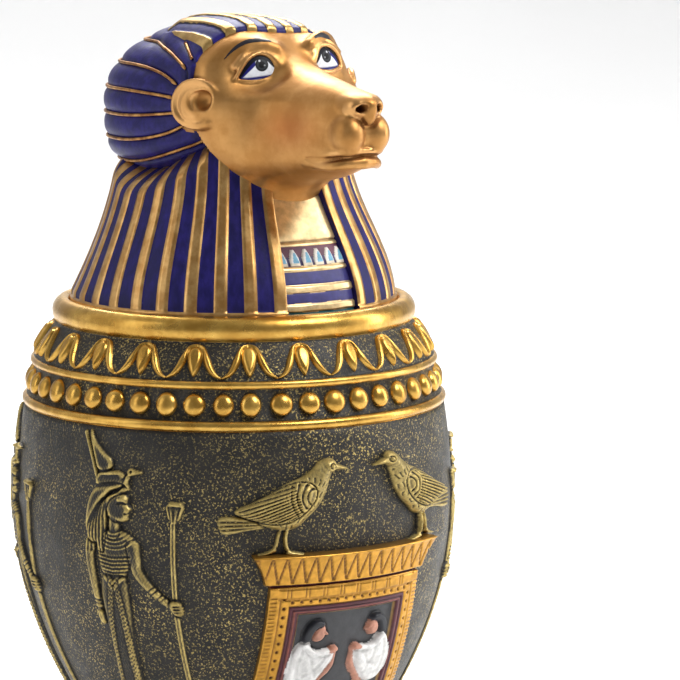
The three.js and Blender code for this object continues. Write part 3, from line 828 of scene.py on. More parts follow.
def seated(sheet, side):
    """A small seated figure in a white robe; side 1 faces right, -1 faces left."""
    u, v = sheet.u * side, sheet.v
    base = 0.9

    def lay(away, height, colour, edge=1.0):
        sheet.add(away, base + height, edge, 0.3)
        sheet.tint(away < 0.05, colour)

    lay(stroke(u, v, [(-11.6, 37), (-6.6, 45.5)], [1.3, 1.2]), 0.9, SKIN)
    leg = smooth_path([(-3.2, 53.3), (-3.6, 48.5), (-7, 44), (-7.2, 38.5), (-5.4, 36.8)], 10)
    lay(stroke(u, v, leg, [1.1, 1.1, 1.2, 1.2, 1.1, 1.0, 1.0, 0.9, 0.9, 0.8]), 1.0, SKIN)
    robe = [(-15.6, 55.4), (-13.2, 57.6), (-10.8, 57), (-9.8, 54), (-6.8, 53), (-3.6, 54.2),
            (-3, 51.6), (-5.2, 47.4), (-8.2, 43.2), (-12.4, 41.4), (-15.8, 43.4), (-17, 48.6)]
    lay(patch(u, v, robe, 2), 1.7, WHITE, 1.6)
    for path in ([(-12.6, 56), (-14, 50), (-13, 44)], [(-10.4, 55), (-10, 50.5), (-8, 46)],
                 [(-6, 52.2), (-8.6, 48.6), (-11.6, 47)]):
        sheet.groove(stroke(u, v, smooth_path(path, 8), 0.15), 0.35, 0.5)
    lay(stroke(u, v, smooth_path([(-12.6, 56), (-9.2, 53.4), (-5, 53.6)], 8), 1.0), 2.1, WHITE, 0.9)
    lay(oval(u, v, (-3.7, 54.1), (1.5, 1.2), 10), 2.1, SKIN, 0.9)
    lay(oval(u, v, (-8.6, 59.4), (1.9, 2.6), -12), 1.7, SKIN)
    lay(stroke(u, v, [(-7.2, 59.8), (-6.5, 59.1)], 0.45), 1.6, SKIN, 0.4)
    hair = [(-6.8, 61.6), (-8.2, 63.6), (-11.2, 63.4), (-13.2, 61), (-13.8, 57.2), (-11.2, 56.6),
            (-10.4, 59.6), (-9.6, 61)]
    lay(patch(u, v, hair, 2), 2.0, HAIR)


def shrine():
    """A painting of two seated figures in a maroon frame, between gold pillars and under a
    flared cornice."""
    sheet = Relief(-31, 31, 17.5, 84.5, 0.26)
    u, v = sheet.u, sheet.v
    half = np.abs(u)
    ink_and_shade = np.zeros(u.shape)
    sheet.start_paint(GOLD, 1.0)

    def box(low, high, width):
        return np.maximum(np.abs(v - (low + high) / 2) - (high - low) / 2, half - width)

    def line(away, depth, width, ink_width, darkness):
        """A groove with dark paint in it."""
        sheet.groove(away, depth, width)
        ink_and_shade[...] = np.maximum(ink_and_shade, limit(1 - away / ink_width) * darkness)

    sheet.add(box(20, 23.2, 26.5), 3.0, 0.6)
    sheet.add(box(22.8, 74.4, 24.6), 2.3, 0.6, 0)
    # The cornice flares out as it rises.
    flare = 26.0 + 3.9 * limit((v - 74) / 9) ** 1.5
    cornice = np.maximum(np.abs(v - 78.7) - 4.5, half - flare)
    rise = 2.5 + 2.1 * limit((v - 74) / 9) ** 1.6
    inside = limit(-cornice / 0.5)
    sheet.height = np.maximum(sheet.height, np.where(
        cornice < 0, rise * np.sqrt(1 - (1 - inside) ** 2), SUNK))
    tooth = 3.9
    place = (u + 200.0) % tooth / tooth
    slope = 2 * np.abs(place - 0.5)
    share = limit((v - 75.2) / 7.0)
    on_cornice = (cornice < -0.35) & (v > 75.2) & (v < 82.3)
    for shift in (0.0, 0.14):
        zigzag = np.abs(slope - share * 0.86 - shift) * tooth * 0.45
        line(np.where(on_cornice, zigzag, FAR), 0.42, 0.22, 0.2, 0.7)
    sheet.ridge(np.where(cornice < 0, np.abs(v - 82.8), FAR), 0.25, 0.35)
    under = np.abs(v - 74.1)
    sheet.groove(np.where(half < 26, under, FAR), 1.0, 0.5)
    sheet.tint((under < 0.42) & (half < 26), MAROON)
    # The strip of little panels, the dotted border and the pillars.
    strip = (v > 70.6) & (v < 73.3) & (half < 20.5)
    bars = (u + 200.0) % 5.1
    lines = np.minimum(np.abs(bars - 2.0), np.abs(bars - 3.0))
    line(np.where(strip, lines, FAR), 0.4, 0.22, 0.2, 0.75)
    for level in (73.3, 70.4):
        line(np.where(half < 22, np.abs(v - level), FAR), 0.35, 0.25, 0.22, 0.5)
    frame = box(27.2, 68.9, 19.6)
    line(np.where(v < 70.2, np.abs(box(26, 70.2, 21.3)), FAR), 0.5, 0.3, 0.25, 0.6)
    dots = np.where(half > 19.0, np.hypot((v + 100.0) % 2.6 - 1.3, half - 20.2),
                    np.hypot((u + 201.3) % 2.6 - 1.3, v - 69.4))
    dots = np.where((np.abs(frame - 0.6) < 0.9) & (v > 27), dots, FAR)
    sheet.groove(dots - 0.2, 0.6, 0.3)
    ink_and_shade[...] = np.maximum(ink_and_shade, limit(1.6 - dots / 0.35))
    ticks = np.abs((v + 100.0) % 1.15 - 0.575)
    on_pillar = (half > 22.2) & (half < 24.2) & (v > 27) & (v < 71)
    line(np.where(on_pillar, ticks, FAR), 0.35, 0.25, 0.3, 0.35)
    # Two maroon mouldings step down to the picture.
    for low, high, width in ((28.1, 68.0, 18.7), (29.2, 66.9, 17.6)):
        sheet.groove(np.abs(box(low, high, width)), 0.6, 0.28)
    picture = box(31.0, 65.4, 15.6)
    sheet.tint(box(28.1, 68.0, 18.7) < 0, MAROON)
    sheet.tint(np.abs(box(29.7, 66.4, 17.1)) < 0.18, (0.25, 0.07, 0.05), 0.3)
    sheet.height = np.where(picture < 0.6, np.minimum(
        sheet.height, 0.9 + limit(picture / 0.6) * 1.3), sheet.height)
    sheet.tint(picture < 0.05, SLATE)
    sheet.tint(np.abs(picture - 0.15) < 0.16, (0.45, 0.28, 0.10), 0.6)
    for side in (1, -1):
        seated(sheet, side)
    # A plinth of upright strokes under the picture, and the foot moulding.
    on_plinth = (v > 23.6) & (v < 26.6) & (half < 21)
    line(np.where(on_plinth, np.abs((u + 200.0) % 3.2 - 1.6), FAR), 0.4, 0.25, 0.2, 0.6)
    # Painted shade: the gold is darkened where it lies lower than the relief around it, added to
    # the dark lines in the grooves.
    tone_shift = 0.55 * limit(1 - sheet.rub(0.7, 1.0, 0.9))
    ink_and_shade = limit(ink_and_shade + tone_shift) * (sheet.gilt > 0.5)
    sheet.stain(ink_and_shade, [channel * 0.25 for channel in DULL_GOLD])
    sheet.gilt *= 1 - 0.6 * ink_and_shade
    # Painted shade: the gold is painted darker the lower it lies.
    low_place_shade = limit(1 - sheet.height / 1.2) * (sheet.gilt > 0.5)
    sheet.paint *= (1 - 0.7 * low_place_shade)[..., None]
    points, faces, marks = sheet.build(on_wall(SHRINE_AT), sheet.painted())
    return piece("shrine", points, faces, [DETAIL], marks=marks)


shrine()


# ---- Solids from fields of distance ----
def ball(x, f, z, at, size):
    a, b, c = (x - at[0]) / size[0], (f - at[1]) / size[1], (z - at[2]) / size[2]
    far = np.sqrt(a * a + b * b + c * c) + 1e-6
    steep = np.sqrt((a / size[0]) ** 2 + (b / size[1]) ** 2 + (c / size[2]) ** 2) + 1e-6
    return (far - 1) * far / steep


def cord(x, f, z, path, radii):
    radii = np.broadcast_to(radii, len(path))
    best = np.full(np.shape(x), 1e3)
    for a, b, ra, rb in zip(path[:-1], path[1:], radii[:-1], radii[1:]):
        d = np.subtract(b, a)
        t = ((x - a[0]) * d[0] + (f - a[1]) * d[1] + (z - a[2]) * d[2]) / (d @ d + 1e-9)
        t = limit(t)
        away = np.sqrt((x - a[0] - t * d[0]) ** 2 + (f - a[1] - t * d[1]) ** 2
                       + (z - a[2] - t * d[2]) ** 2) - ra - (rb - ra) * t
        best = np.minimum(best, away)
    return best


def merge(a, b, soft):
    h = np.maximum(soft - np.abs(a - b), 0) / soft
    return np.minimum(a, b) - h * h * soft / 4


def carve(a, b, soft):
    return -merge(-a, b, soft)


def gradient(field, points, step=0.05):
    parts = []
    for axis in range(3):
        shift = np.zeros(3)
        shift[axis] = step
        ahead, behind = (points + shift).T, (points - shift).T
        parts.append((field(*ahead) - field(*behind)) / (2 * step))
    return np.stack(parts, axis=-1)


def settle(field, points, rounds=3):
    """Move points onto the field's zero."""
    for _ in range(rounds):
        slope = gradient(field, points)
        value = field(*points.T)
        size = (slope ** 2).sum(axis=1) + 1e-4
        move = np.clip(value / size, -0.6, 0.6)
        points = points - slope * move[:, None]
    return points


def solid(field, low, high, voxel):
    """A quad mesh of where a field of (across, forward, up) is zero, as object points."""
    counts = [int((b - a) / voxel) + 1 for a, b in zip(low, high)]
    axes = [low[k] + voxel * np.arange(counts[k]) for k in range(3)]
    values = np.empty(counts, np.float32)
    for i, x in enumerate(axes[0]):
        f, z = np.meshgrid(axes[1], axes[2], indexing="ij")
        values[i] = field(np.full_like(f, x), f, z)
    values = np.clip(values / voxel, -3, 3)
    volume = openvdb.FloatGrid(3.0)
    volume.copyFromArray(values)
    points, faces = volume.convertToQuads(0.0)
    points = settle(field, points.astype(float) * voxel + np.array(low))
    return points, faces.astype(np.int64)[:, ::-1]


def to_object(points):
    return points * [1, -1, 1]


def hollows(field, points, reach=2.2):
    """How hollow the surface is at each point, from the field a little way out from it."""
    slope = unit(gradient(field, points), 1e-6)
    out = field(*(points + slope * reach).T)
    return limit((reach - out) / reach * 1.6)


def edges(field, points, reach=1.6):
    """How sharply the surface juts out at each point, from the field a little way inside it."""
    slope = unit(gradient(field, points), 1e-6)
    inner = -field(*(points - slope * reach).T)
    return limit((reach - inner) / reach * 1.5)


# ---- The head ----
def profile(stations, spread=1.6):
    """A smooth function through (forward, value) pairs."""
    at, value = np.array(stations, float).T
    fine = np.arange(at[0] - 10, at[-1] + 10, 0.2)
    values = np.interp(fine, at, value)
    reach = int(spread / 0.2)
    weights = np.exp(-0.5 * (np.arange(-3 * reach, 3 * reach + 1) / reach) ** 2)
    weights /= weights.sum()
    values = np.convolve(np.pad(values, 3 * reach, mode="edge"), weights, "valid")
    return lambda where: np.interp(where, fine, values)


HALF_WIDTH = profile([(-20, 24), (-10, 26), (0, 26.3), (12, 26.2), (18, 25.7), (22, 24.9),
                      (26, 23.2), (30, 20.6), (34, 17.8), (38, 15.8), (44, 13.5), (50, 11.8),
                      (55, 10.3), (59, 8.8), (62, 7.0), (65, 4.5), (67, 2.5)])
PINCH = profile([(20, 0), (24, 0.01), (27, 0.07), (29, 0.17), (31, 0.32), (33, 0.39), (36, 0.31),
                 (40, 0.16), (46, 0.05), (52, 0)], 1.0)
TOP = profile([(-20, 221), (-10, 225.6), (0, 227.0), (10, 227.2), (18, 226.6), (22, 225.7),
               (25, 224.9), (28, 222.7), (31, 219.6), (34, 217.1), (38, 215.1), (44, 213.4),
               (50, 212.3), (56, 211.1), (60, 210.0), (63, 208.6), (66, 204)])
BOTTOM = profile([(-20, 188), (0, 184), (14, 181.6), (20, 179.0), (26, 178.8), (30, 179.8),
                  (36, 181.6), (44, 183.6), (50, 184.9), (54, 186.0), (58, 187.4), (61, 188.9),
                  (64, 192), (67, 196)])
BROW = smooth_path([(6.0, 30.0, 220.6), (8.6, 28.7, 221.7), (12.0, 26.6, 221.8),
                    (16.2, 23.6, 220.2), (20.8, 19.4, 216.4)], 9)

EYE = np.array([11.2, 29.5, 215.6])
EYE_OUT = unit(np.array([0.32, 0.93, 0.20]))
EYE_SIDE = np.array([0.95, -0.31, 0.0])
EYE_SIDE = unit(EYE_SIDE - EYE_OUT * (EYE_SIDE @ EYE_OUT))
EYE_TILT, EAR_TILT = 0.075, 0.02
EYE_UP = np.cross(EYE_SIDE, EYE_OUT)
EYE_UP = EYE_UP * np.sign(EYE_UP[2])
UPPER_LID = [(-6.6, -1.9), (-4.4, 0.6), (-2.5, 2.6), (-0.3, 3.2), (2.0, 2.4), (4.0, 0.5),
             (6.2, -2.5)]
LOWER_LID = [(-6.6, -1.9), (-3.0, -2.6), (0.4, -2.8), (3.4, -2.85), (6.2, -2.5)]


def eye_bulge(a, b):
    return 1.7 - 0.033 * (a - 0.4) ** 2 - 0.06 * (b + 0.4) ** 2


def at_eye(a, b, lift=0.0):
    a, b = np.asarray(a, float), np.asarray(b, float)
    out = eye_bulge(a, b) + lift
    return EYE + a[..., None] * EYE_SIDE + b[..., None] * EYE_UP + out[..., None] * EYE_OUT


def lid_path(outline, count, lift, grow=0.0):
    path = smooth_path(outline, count)
    centre = np.array([0.8, -1.0])
    away = path - centre
    path = path + grow * unit(away)
    return at_eye(path[:, 0], path[:, 1], lift)


EAR_SIZE = 0.78
EAR_AT = (24.3, 20.6, 206.0)


def ear(x, f, z):
    """An ear lying back against the headcloth: a rolled rim, an inner fold and a lobe."""
    x, f, z = ((place - middle) / EAR_SIZE for place, middle in zip((x, f, z), EAR_AT))
    f, z = f + 21.2, z + 205
    x = x + 26.6 - 0.42 * (27.5 - f)
    rim = [(28.8, 209.0), (26.2, 211.4), (21.8, 212.4), (17.0, 211.2), (13.8, 207.6),
           (12.9, 203.2), (14.4, 199.4), (18.0, 197.0), (22.6, 196.4), (26.4, 197.6)]
    rim = smooth_path([(26.6, a, b) for a, b in rim], 22)
    radii = taper(22, [0, 0.15, 0.5, 0.8, 1], [0.8, 1.15, 1.1, 1.35, 1.8])
    field = ball(x, f, z, (26.2, 20.8, 204.6), (1.7, 7.6, 7.2))
    field = merge(field, cord(x, f, z, rim, radii), 1.0)
    fold = [(24.4, 209.4), (20.6, 209.2), (17.8, 207.0), (16.6, 203.6), (17.6, 200.4),
            (20.4, 199.0), (23.6, 199.6)]
    fold = smooth_path([(26.9, a, b) for a, b in fold], 16)
    field = merge(field, cord(x, f, z, fold, np.linspace(0.5, 1.0, 16)), 0.8)
    field = carve(field, ball(x, f, z, (29.0, 22.8, 205.2), (4.6, 3.8, 3.9)), 0.7)
    field = carve(field, ball(x, f, z, (29.4, 26.2, 206.4), (4.6, 3.0, 3.2)), 0.7)
    return EAR_SIZE * merge(field, ball(x, f, z, (26.2, 28.4, 203.0), (1.5, 1.3, 2.4)), 1.0)


LID_RIMS = [(lid_path(UPPER_LID, 14, 0.3, 0.9), 0.6), (lid_path(LOWER_LID, 10, 0.0, 0.9), 0.5)]
LID_FOLD = lid_path([(-6.0, 0.4), (-4.0, 3.6), (-0.4, 5.4), (3.0, 4.8), (6.8, 1.2)], 10, 0.1)
EYE_BAG = lid_path([(-4.4, -4.6), (-0.6, -5.3), (3.6, -5.2), (6.6, -4.4)], 8, -0.9)
LOWER_LIP = smooth_path([(9.4, 51.0, 189.9), (8.4, 57.0, 189.2), (7.0, 60.6, 189.5),
                         (4.2, 63.0, 190.2), (0, 63.9, 190.4)], 12)
MOUTH = smooth_path([(10.6, 52.0, 191.0), (9.9, 57.0, 191.1), (8.6, 61.6, 191.5),
                     (5.2, 66.0, 192.1), (0, 67.4, 192.3)], 14)
UPPER_LIP = smooth_path([(9.6, 51.5, 192.5), (8.9, 57.0, 192.5), (7.5, 61.4, 192.9),
                         (4.3, 65.0, 193.5), (0, 65.6, 193.7)], 12)


def lean(x, z):
    """The crown sits a little lower toward the head's left, as the casting came."""
    tilt = np.where(x > 0, 0.11, 0.055)
    bend = np.where(x > 0, 0.04, 0.018)
    drop = tilt * x + bend * np.maximum(np.abs(x) - 9, 0) ** 2
    return drop * ease((z - 214) / 9)


def head_block(x, f, z):
    """The head's plain bulk: flat-topped over the brow, rounder along the muzzle."""
    over_eyes = limit((44 - f) / 8) * limit((f - 18) / 6)
    f = f + 1.3 * limit((z - 206) / 6) * over_eyes
    width, top, bottom = HALF_WIDTH(f), TOP(f), BOTTOM(f)
    middle, tall = (top + bottom) / 2, np.maximum((top - bottom) / 2, 1)
    muzzle = limit((f - 26) / 18)
    width = width * (1 - 0.16 * muzzle * np.clip((z - middle) / tall, -1, 1))
    width = width * (1 - PINCH(f) * ease((z - 206) / 7))
    n = 2.35 + 0.85 * ease(limit((z - middle - 3) / 8) * limit((44 - f) / 14))
    a, b = np.abs(x) / width, np.abs(z - middle) / tall
    far = (a ** n + b ** n + 1e-9) ** (1 / n)
    steep = far ** (1 - n) * np.hypot(a ** (n - 1) / width, b ** (n - 1) / tall)
    return (far - 1) / np.maximum(steep, 0.03)


def head(x, f, z):
    """The whole gilt head: face, muzzle, ears and throat."""
    level, aside = z - EYE_TILT * x, z - EAR_TILT * x
    x, z = np.abs(x), z + lean(x, z)
    field = carve(head_block(x, f, z), 65.2 - f, 3.0)
    # Brows and cheekbones.
    field = merge(field, cord(x, f, level, BROW, np.linspace(1.5, 2.2, 9)), 4.5)
    field = merge(field, ball(x, f, z, (17.5, 23.5, 205.0), (7.4, 6.4, 6.6)), 7.0)
    # The eye's socket, then its lids.
    offset = [x - EYE[0], f - EYE[1], level - EYE[2]]
    ea = sum(o * c for o, c in zip(offset, EYE_SIDE))
    eb = sum(o * c for o, c in zip(offset, EYE_UP))
    eo = sum(o * c for o, c in zip(offset, EYE_OUT))
    field = carve(field, ball(ea, eo, eb, (1.4, 4.6, -0.4), (8.4, 4.1, 5.8)), 3.0)
    field = merge(field, ball(ea, eo, eb, (0.8, -3.3, -0.4), (8.2, 4.4, 5.6)), 1.2)
    for path, radius in LID_RIMS:
        field = merge(field, cord(x, f, level, path, radius), 0.6)
    field = merge(field, cord(x, f, level, LID_FOLD, 0.8), 1.4)
    field = merge(field, cord(x, f, level, EYE_BAG, 0.8), 2.4)
    # Lips: two hanging pads, the slit of the mouth and a full lower lip.
    for at, size, soft in (((0, 59.6, 199.0), (5.2, 5.8, 6.2), 1.4),
                           ((4.3, 62.0, 198.1), (4.4, 5.9, 5.8), 1.0),
                           ((0, 66.2, 203.0), (1.8, 2.4, 2.2), 1.2)):
        field = merge(field, ball(x, f, z, at, size), soft)
    field = merge(field, cord(x, f, z, LOWER_LIP, np.linspace(0.7, 1.9, 12)), 1.8)
    field = merge(field, cord(x, f, z, UPPER_LIP, np.linspace(0.2, 0.6, 12)), 1.4)
    field = carve(field, cord(x, f, z, MOUTH, np.linspace(0.15, 0.5, 14)), 0.8)
    # The nose and its nostrils.
    field = merge(field, ball(x, f, z, (0, 61.6, 206.2), (4.7, 7.6, 3.6)), 2.4)
    field = merge(field, ball(x, f, z, (3.2, 62.8, 205.8), (2.7, 4.8, 3.0)), 1.6)
    nostril = [(1.6, 69.4, 206.3), (2.7, 68.4, 205.7), (3.8, 67.0, 205.2)]
    field = carve(field, cord(x, f, z, nostril, [0.7, 1.25, 0.8]), 0.4)
    field = carve(field, cord(x, f, z, [(2.7, 69, 205.7), (2.9, 63.4, 204.8)], 1.1), 0.4)
    # Neck, and the ears.
    throat = cord(x, f, z, [(0, 8, 181), (0, 19.5, 183.2)], [20.5, 14.5])
    field = merge(field, np.maximum(throat, 172 - z), 5.0)
    field = merge(field, ear(x, f, aside), 0.9)
    return carve(field, ball(x, f, aside, (26.9, 23.6, 206.6), (4.2, 3.2, 3.0)), 0.8)


def cloth_edge(x, z):
    """How far forward the headcloth reaches round the face, at each height."""
    brow = 24.7 - 5.2 * (np.abs(x) / 20.6) ** 2 - 0.08 * np.maximum(x, 0)
    side = np.interp(z, [170, 178, 182, 186, 192, 198, 203, 213, 221, 224],
                     [36, 33, 30.5, 28.4, 25.4, 22, 17.5, 18.5, 19.2, 19.6])
    share = ease((z - 216) / 6)
    return side * (1 - share) + brow * share


def gilt_head():
    def face(x, f, z):
        return np.maximum(head(x, f, z), 6 - f)
    points, faces = solid(face, (-33, 4, 171), (33, 71, 229), 0.48)
    # What lies behind the headcloth is left out.
    middle = points[faces].mean(axis=1)
    shown = (middle[:, 1] > cloth_edge(middle[:, 0], middle[:, 2]) - 3.0)
    shown |= np.abs(middle[:, 0]) > 25.2
    faces = faces[shown & (middle[:, 1] > 7)]
    used, faces = np.unique(faces, return_inverse=True)
    points = points[used]
    # A reddish bloom in the paint, along each side of the muzzle.
    bloom = np.exp(-((points[:, 1] - 47) / 9) ** 2 - ((points[:, 2] - 199) / 5.5) ** 2)
    # hollow carries the gold paint's painted shade, edge its painted highlight on jutting places.
    marks = {"hollow": hollows(head, points), "edge": edges(head, points), "blush": 0.5 * bloom}
    return piece("gilt_head", to_object(points), faces.reshape(-1, 4)[:, ::-1], [FACE_GOLD],
                 marks=marks)


head_piece = gilt_head()


def eyes():
    """The painted eyeballs, seen between the lids."""
    a, b = np.meshgrid(np.arange(-6.4, 8.0, 0.11), np.arange(-5.4, 4.4, 0.11))
    points = at_eye(a, b)
    iris_at = (-0.7, 0.75)
    from_iris = np.hypot(a - iris_at[0], b - iris_at[1])
    paint = np.empty(a.shape + (3,))
    paint[:] = (0.72, 0.75, 0.80)

    def tint(share, colour):
        share = limit(share)[..., None]
        paint[...] = paint * (1 - share) + np.array(colour) * share

    above = stroke(a, b, smooth_path(UPPER_LID, 24), 0.0)
    below = stroke(a, b, smooth_path(LOWER_LID, 20), 0.0)
    tint(1.5 - below / 0.4, (0.012, 0.014, 0.14))
    shaded = np.minimum((a - 1.0) / 0.2, (b + 0.83 * (a - 1.0) - 0.7) / 0.2)
    tint(shaded, (0.014, 0.014, 0.15))
    tint((1.95 - from_iris) / 0.12, (0.005, 0.005, 0.007))
    tint((1.6 - from_iris) / 0.15, (0.03, 0.034, 0.038))
    tint((1.0 - from_iris) / 0.12, (0.003, 0.003, 0.004))
    # Two painted highlights on the iris.
    tint((0.36 - np.hypot(a + 0.1, b - 1.9)) / 0.1, (0.7, 0.7, 0.75))
    tint((0.3 - np.hypot(a + 1.5, b - 0.5)) / 0.15, (0.3, 0.31, 0.33))
    line = np.interp(a, [-6, -2, 2, 5], [0.75, 0.95, 1.0, 0.75])
    tint((line - above) / 0.15, (0.004, 0.004, 0.008))
    look = Look("eye_paint", Specular_IOR_Level=0.12)
    colour = look.blend(look.step(look.noise(1.0, 2), 0.3, 0.7, 0.0, 0.12),
                        look.mark("paint", colour=True), (0.003, 0.003, 0.004))
    material = look.finish(Base_Color=colour, Roughness=0.42)
    faces = grid_faces(*a.shape)
    outline = np.concatenate([smooth_path(UPPER_LID, 24), smooth_path(LOWER_LID, 24)[-2:0:-1]])
    seen = patch(a, b, outline, 0).ravel() < 0.9
    faces = faces[seen[faces].all(axis=1)]
    flat = points.reshape(-1, 3)
    left, right = flat * [-1, 1, 1], flat.copy()
    left[:, 2] -= EYE_TILT * flat[:, 0]
    right[:, 2] += EYE_TILT * flat[:, 0]
    left, right = to_object(left), to_object(right)
    marks = {"paint": np.concatenate([paint.reshape(-1, 3)] * 2)}
    both, all_faces = together([(right, faces), (left, faces[:, ::-1])])
    return piece("eyes", both, all_faces, [material], marks=marks)


eyes()


def ribbon(path, widths, lift=0.07):
    """A painted line lying on the head: a strip with its edges and middle on the surface."""
    path = settle(head, np.asarray(path, float), 6)
    along = np.gradient(path, axis=0)
    side = unit(np.cross(along, unit(gradient(head, path))))
    rows = []
    for k in np.linspace(-1, 1, 5):
        row = settle(head, path + side * (k * widths)[:, None], 4)
        rows.append(row + lift * unit(gradient(head, row)))
    points = np.stack(rows, axis=1)
    return points.reshape(-1, 3), grid_faces(len(path), 5)


def brows():
    path = smooth_path([(18.6, 23.6, 216.9), (16.6, 25.2, 219.6), (13.6, 27.2, 222.0),
                        (10.4, 29.4, 223.4), (7.2, 30.8, 223.0)], 40)
    widths = taper(40, [0, 0.3, 0.75, 1], [0.1, 0.5, 0.85, 0.35])
    parts = []
    for side in (1, -1):
        points, faces = ribbon(path * [side, 1, 1], widths)
        parts.append((to_object(points), faces[:, ::side]))
    points, faces = together(parts)
    return piece("painted_brows", points, faces, [LINE_BLACK])


brows()


# ---- The headcloth ----
DOME_AT, DOME_HALF, DOME_DEEP, DOME_UP, DOME_DOWN = (7.5, 203.6), 32.4, 33.8, 22.6, 21.8
RIBS, RIB_STEP, RIB_FROM = 7, 14.4, -36.0
RIB_MIDDLE, RIB_SPAN = 204.0, 29.0


def rib_reach(f, z):
    """How far apart the cords are, from the ear round to the back, where it is 1."""
    length = 36 + 9 * ease((np.abs(z - 204.5) - 5) / 6.5)
    return np.clip(1 - np.maximum((12 + f) / length, 0) ** 2, 0.12, 1)


CAP_PITCH, CAP_WIDTH, CAP_SIDE = 6.1, 1.4, 22.4


def cap_stripe(x):
    """1 on the gold stripes that run back over the crown, 0 on the blue between."""
    nearest = np.abs(x / CAP_PITCH % 1 - 0.5) * CAP_PITCH
    return limit((CAP_WIDTH + 0.25 - nearest) / 0.5) * (np.abs(x) < CAP_SIDE + 1.2)


def on_crown(x, f, z):
    """1 on the striped crown, falling to 0 where the padded back begins."""
    side = np.interp(f, [-24, -20, -14, -6, 2, 10, 20], [-2, 5, 13, 19, 21.6, 22.4, 23.0])
    return limit(np.minimum((side - np.abs(x)) / 0.8, z - 212))


def rib_place(f, z):
    """Where a point of the padded back lies among the cords: whole numbers are cords."""
    level = (z - RIB_MIDDLE) / rib_reach(f, z)
    return (np.degrees(np.arcsin(np.clip(level / RIB_SPAN, -1, 1))) - RIB_FROM) / RIB_STEP


def from_rib(f, z):
    """How far a point lies from the nearest cord, as a share of their spacing."""
    place = rib_place(f, z)
    among = (place > -0.4) & (place < RIBS - 0.5)
    return np.where(among, np.abs(place - np.round(place)), 1)


def bare_cloth(x, f, z):
    """The headcloth's bulk: the padded back run together with the crown."""
    down = np.abs(z - DOME_AT[1]) / np.where(z > DOME_AT[1], DOME_UP, DOME_DOWN)
    out = np.hypot(x / DOME_HALF, (f + DOME_AT[0]) / DOME_DEEP)
    down = np.where(z < DOME_AT[1], down * (1 + 0.0008 * np.maximum(f - 2, 0) ** 2), down)
    n = np.where(z > DOME_AT[1], 2.0, 3.7)
    far = (out ** n + down ** n + 1e-9) ** (1 / n)
    back = (far - 1) * 27
    crown = head_block(x, f, z + lean(x, z)) - 1.0
    crown = -merge(-crown, -np.maximum(0.5 * np.abs(x) - 16 - f, 200 - z), 6.0)
    return merge(back, crown, 3.0)


def cloth(x, f, z):
    """The headcloth with its stripes raised, its padding puffed and its front edge rounded."""
    field = bare_cloth(x, f, z)
    crown = on_crown(x, f, z)
    puff = 0.35 - 0.95 * (1 - np.minimum(2 * from_rib(f, z), 1)) ** 2.5
    field = field - crown * 0.6 * cap_stripe(x) - (1 - crown) * puff
    return -merge(-field, cloth_edge(x, z) - f, 1.0)


def cloth_paint():
    """Satin blue paint, with painted shade darkening it in the seams of the padding and beside the
    crown's gold stripes, and gold stripes on the crown.
    """
    look = Look("headcloth_paint", Specular_IOR_Level=0.22)
    across = look.add("ShaderNodeSeparateXYZ", {0: look.coordinates()})
    place = look.times(across.outputs["X"], 1000.0 / CAP_PITCH)
    place = look.sum("FRACT", look.plus(place, 20.0))
    nearest = look.sum("ABSOLUTE", look.sum("SUBTRACT", place, 0.5))
    wander = look.step(look.noise(3.0, 2), 0.3, 0.7, -0.02, 0.02)
    nearest = look.plus(nearest, wander)
    gold = look.step(nearest, 0.245, 0.22)
    # Painted shade: the blue beside each gold stripe on the crown is darkened.
    between = look.times(look.step(nearest, 0.32, 0.24), look.step(look.mark("crown"), 0.3, 0.6))
    gold = look.times(gold, look.step(look.mark("crown"), 0.45, 0.55))
    mottle = look.step(look.noise(4.0, 4, 0.6), 0.35, 0.7)
    gilt = look.blend(mottle, (0.40, 0.24, 0.08), (0.60, 0.40, 0.15))
    brushed = look.noise(3.0, 4, 0.6)
    blue = look.blend(look.step(brushed, 0.35, 0.75), (0.010, 0.008, 0.08), (0.022, 0.016, 0.16))
    # Painted shade: the blue darkens in the seams of the padding, beside the cords.
    blue = look.blend(look.step(look.mark("seam"), 0.1, 0.9), blue, (0.006, 0.005, 0.02))
    blue = look.blend(between, blue, (0.004, 0.003, 0.012))
    chips = look.times(look.step(look.noise(0.9, 2), 0.74, 0.80),
                     look.step(look.mark("seam"), 0.0, 0.5))
    blue = look.blend(chips, blue, (0.6, 0.5, 0.3))
    height = look.plus(look.noise(0.9, 3), look.noise(3.5, 2))
    return look.finish(Base_Color=look.blend(gold, blue, gilt),
                       Metallic=look.times(gold, 0.88),
                       Roughness=look.step(gold, 0, 1, 0.42, 0.34),
                       Normal=look.bump(height, 0.07, 0.7))


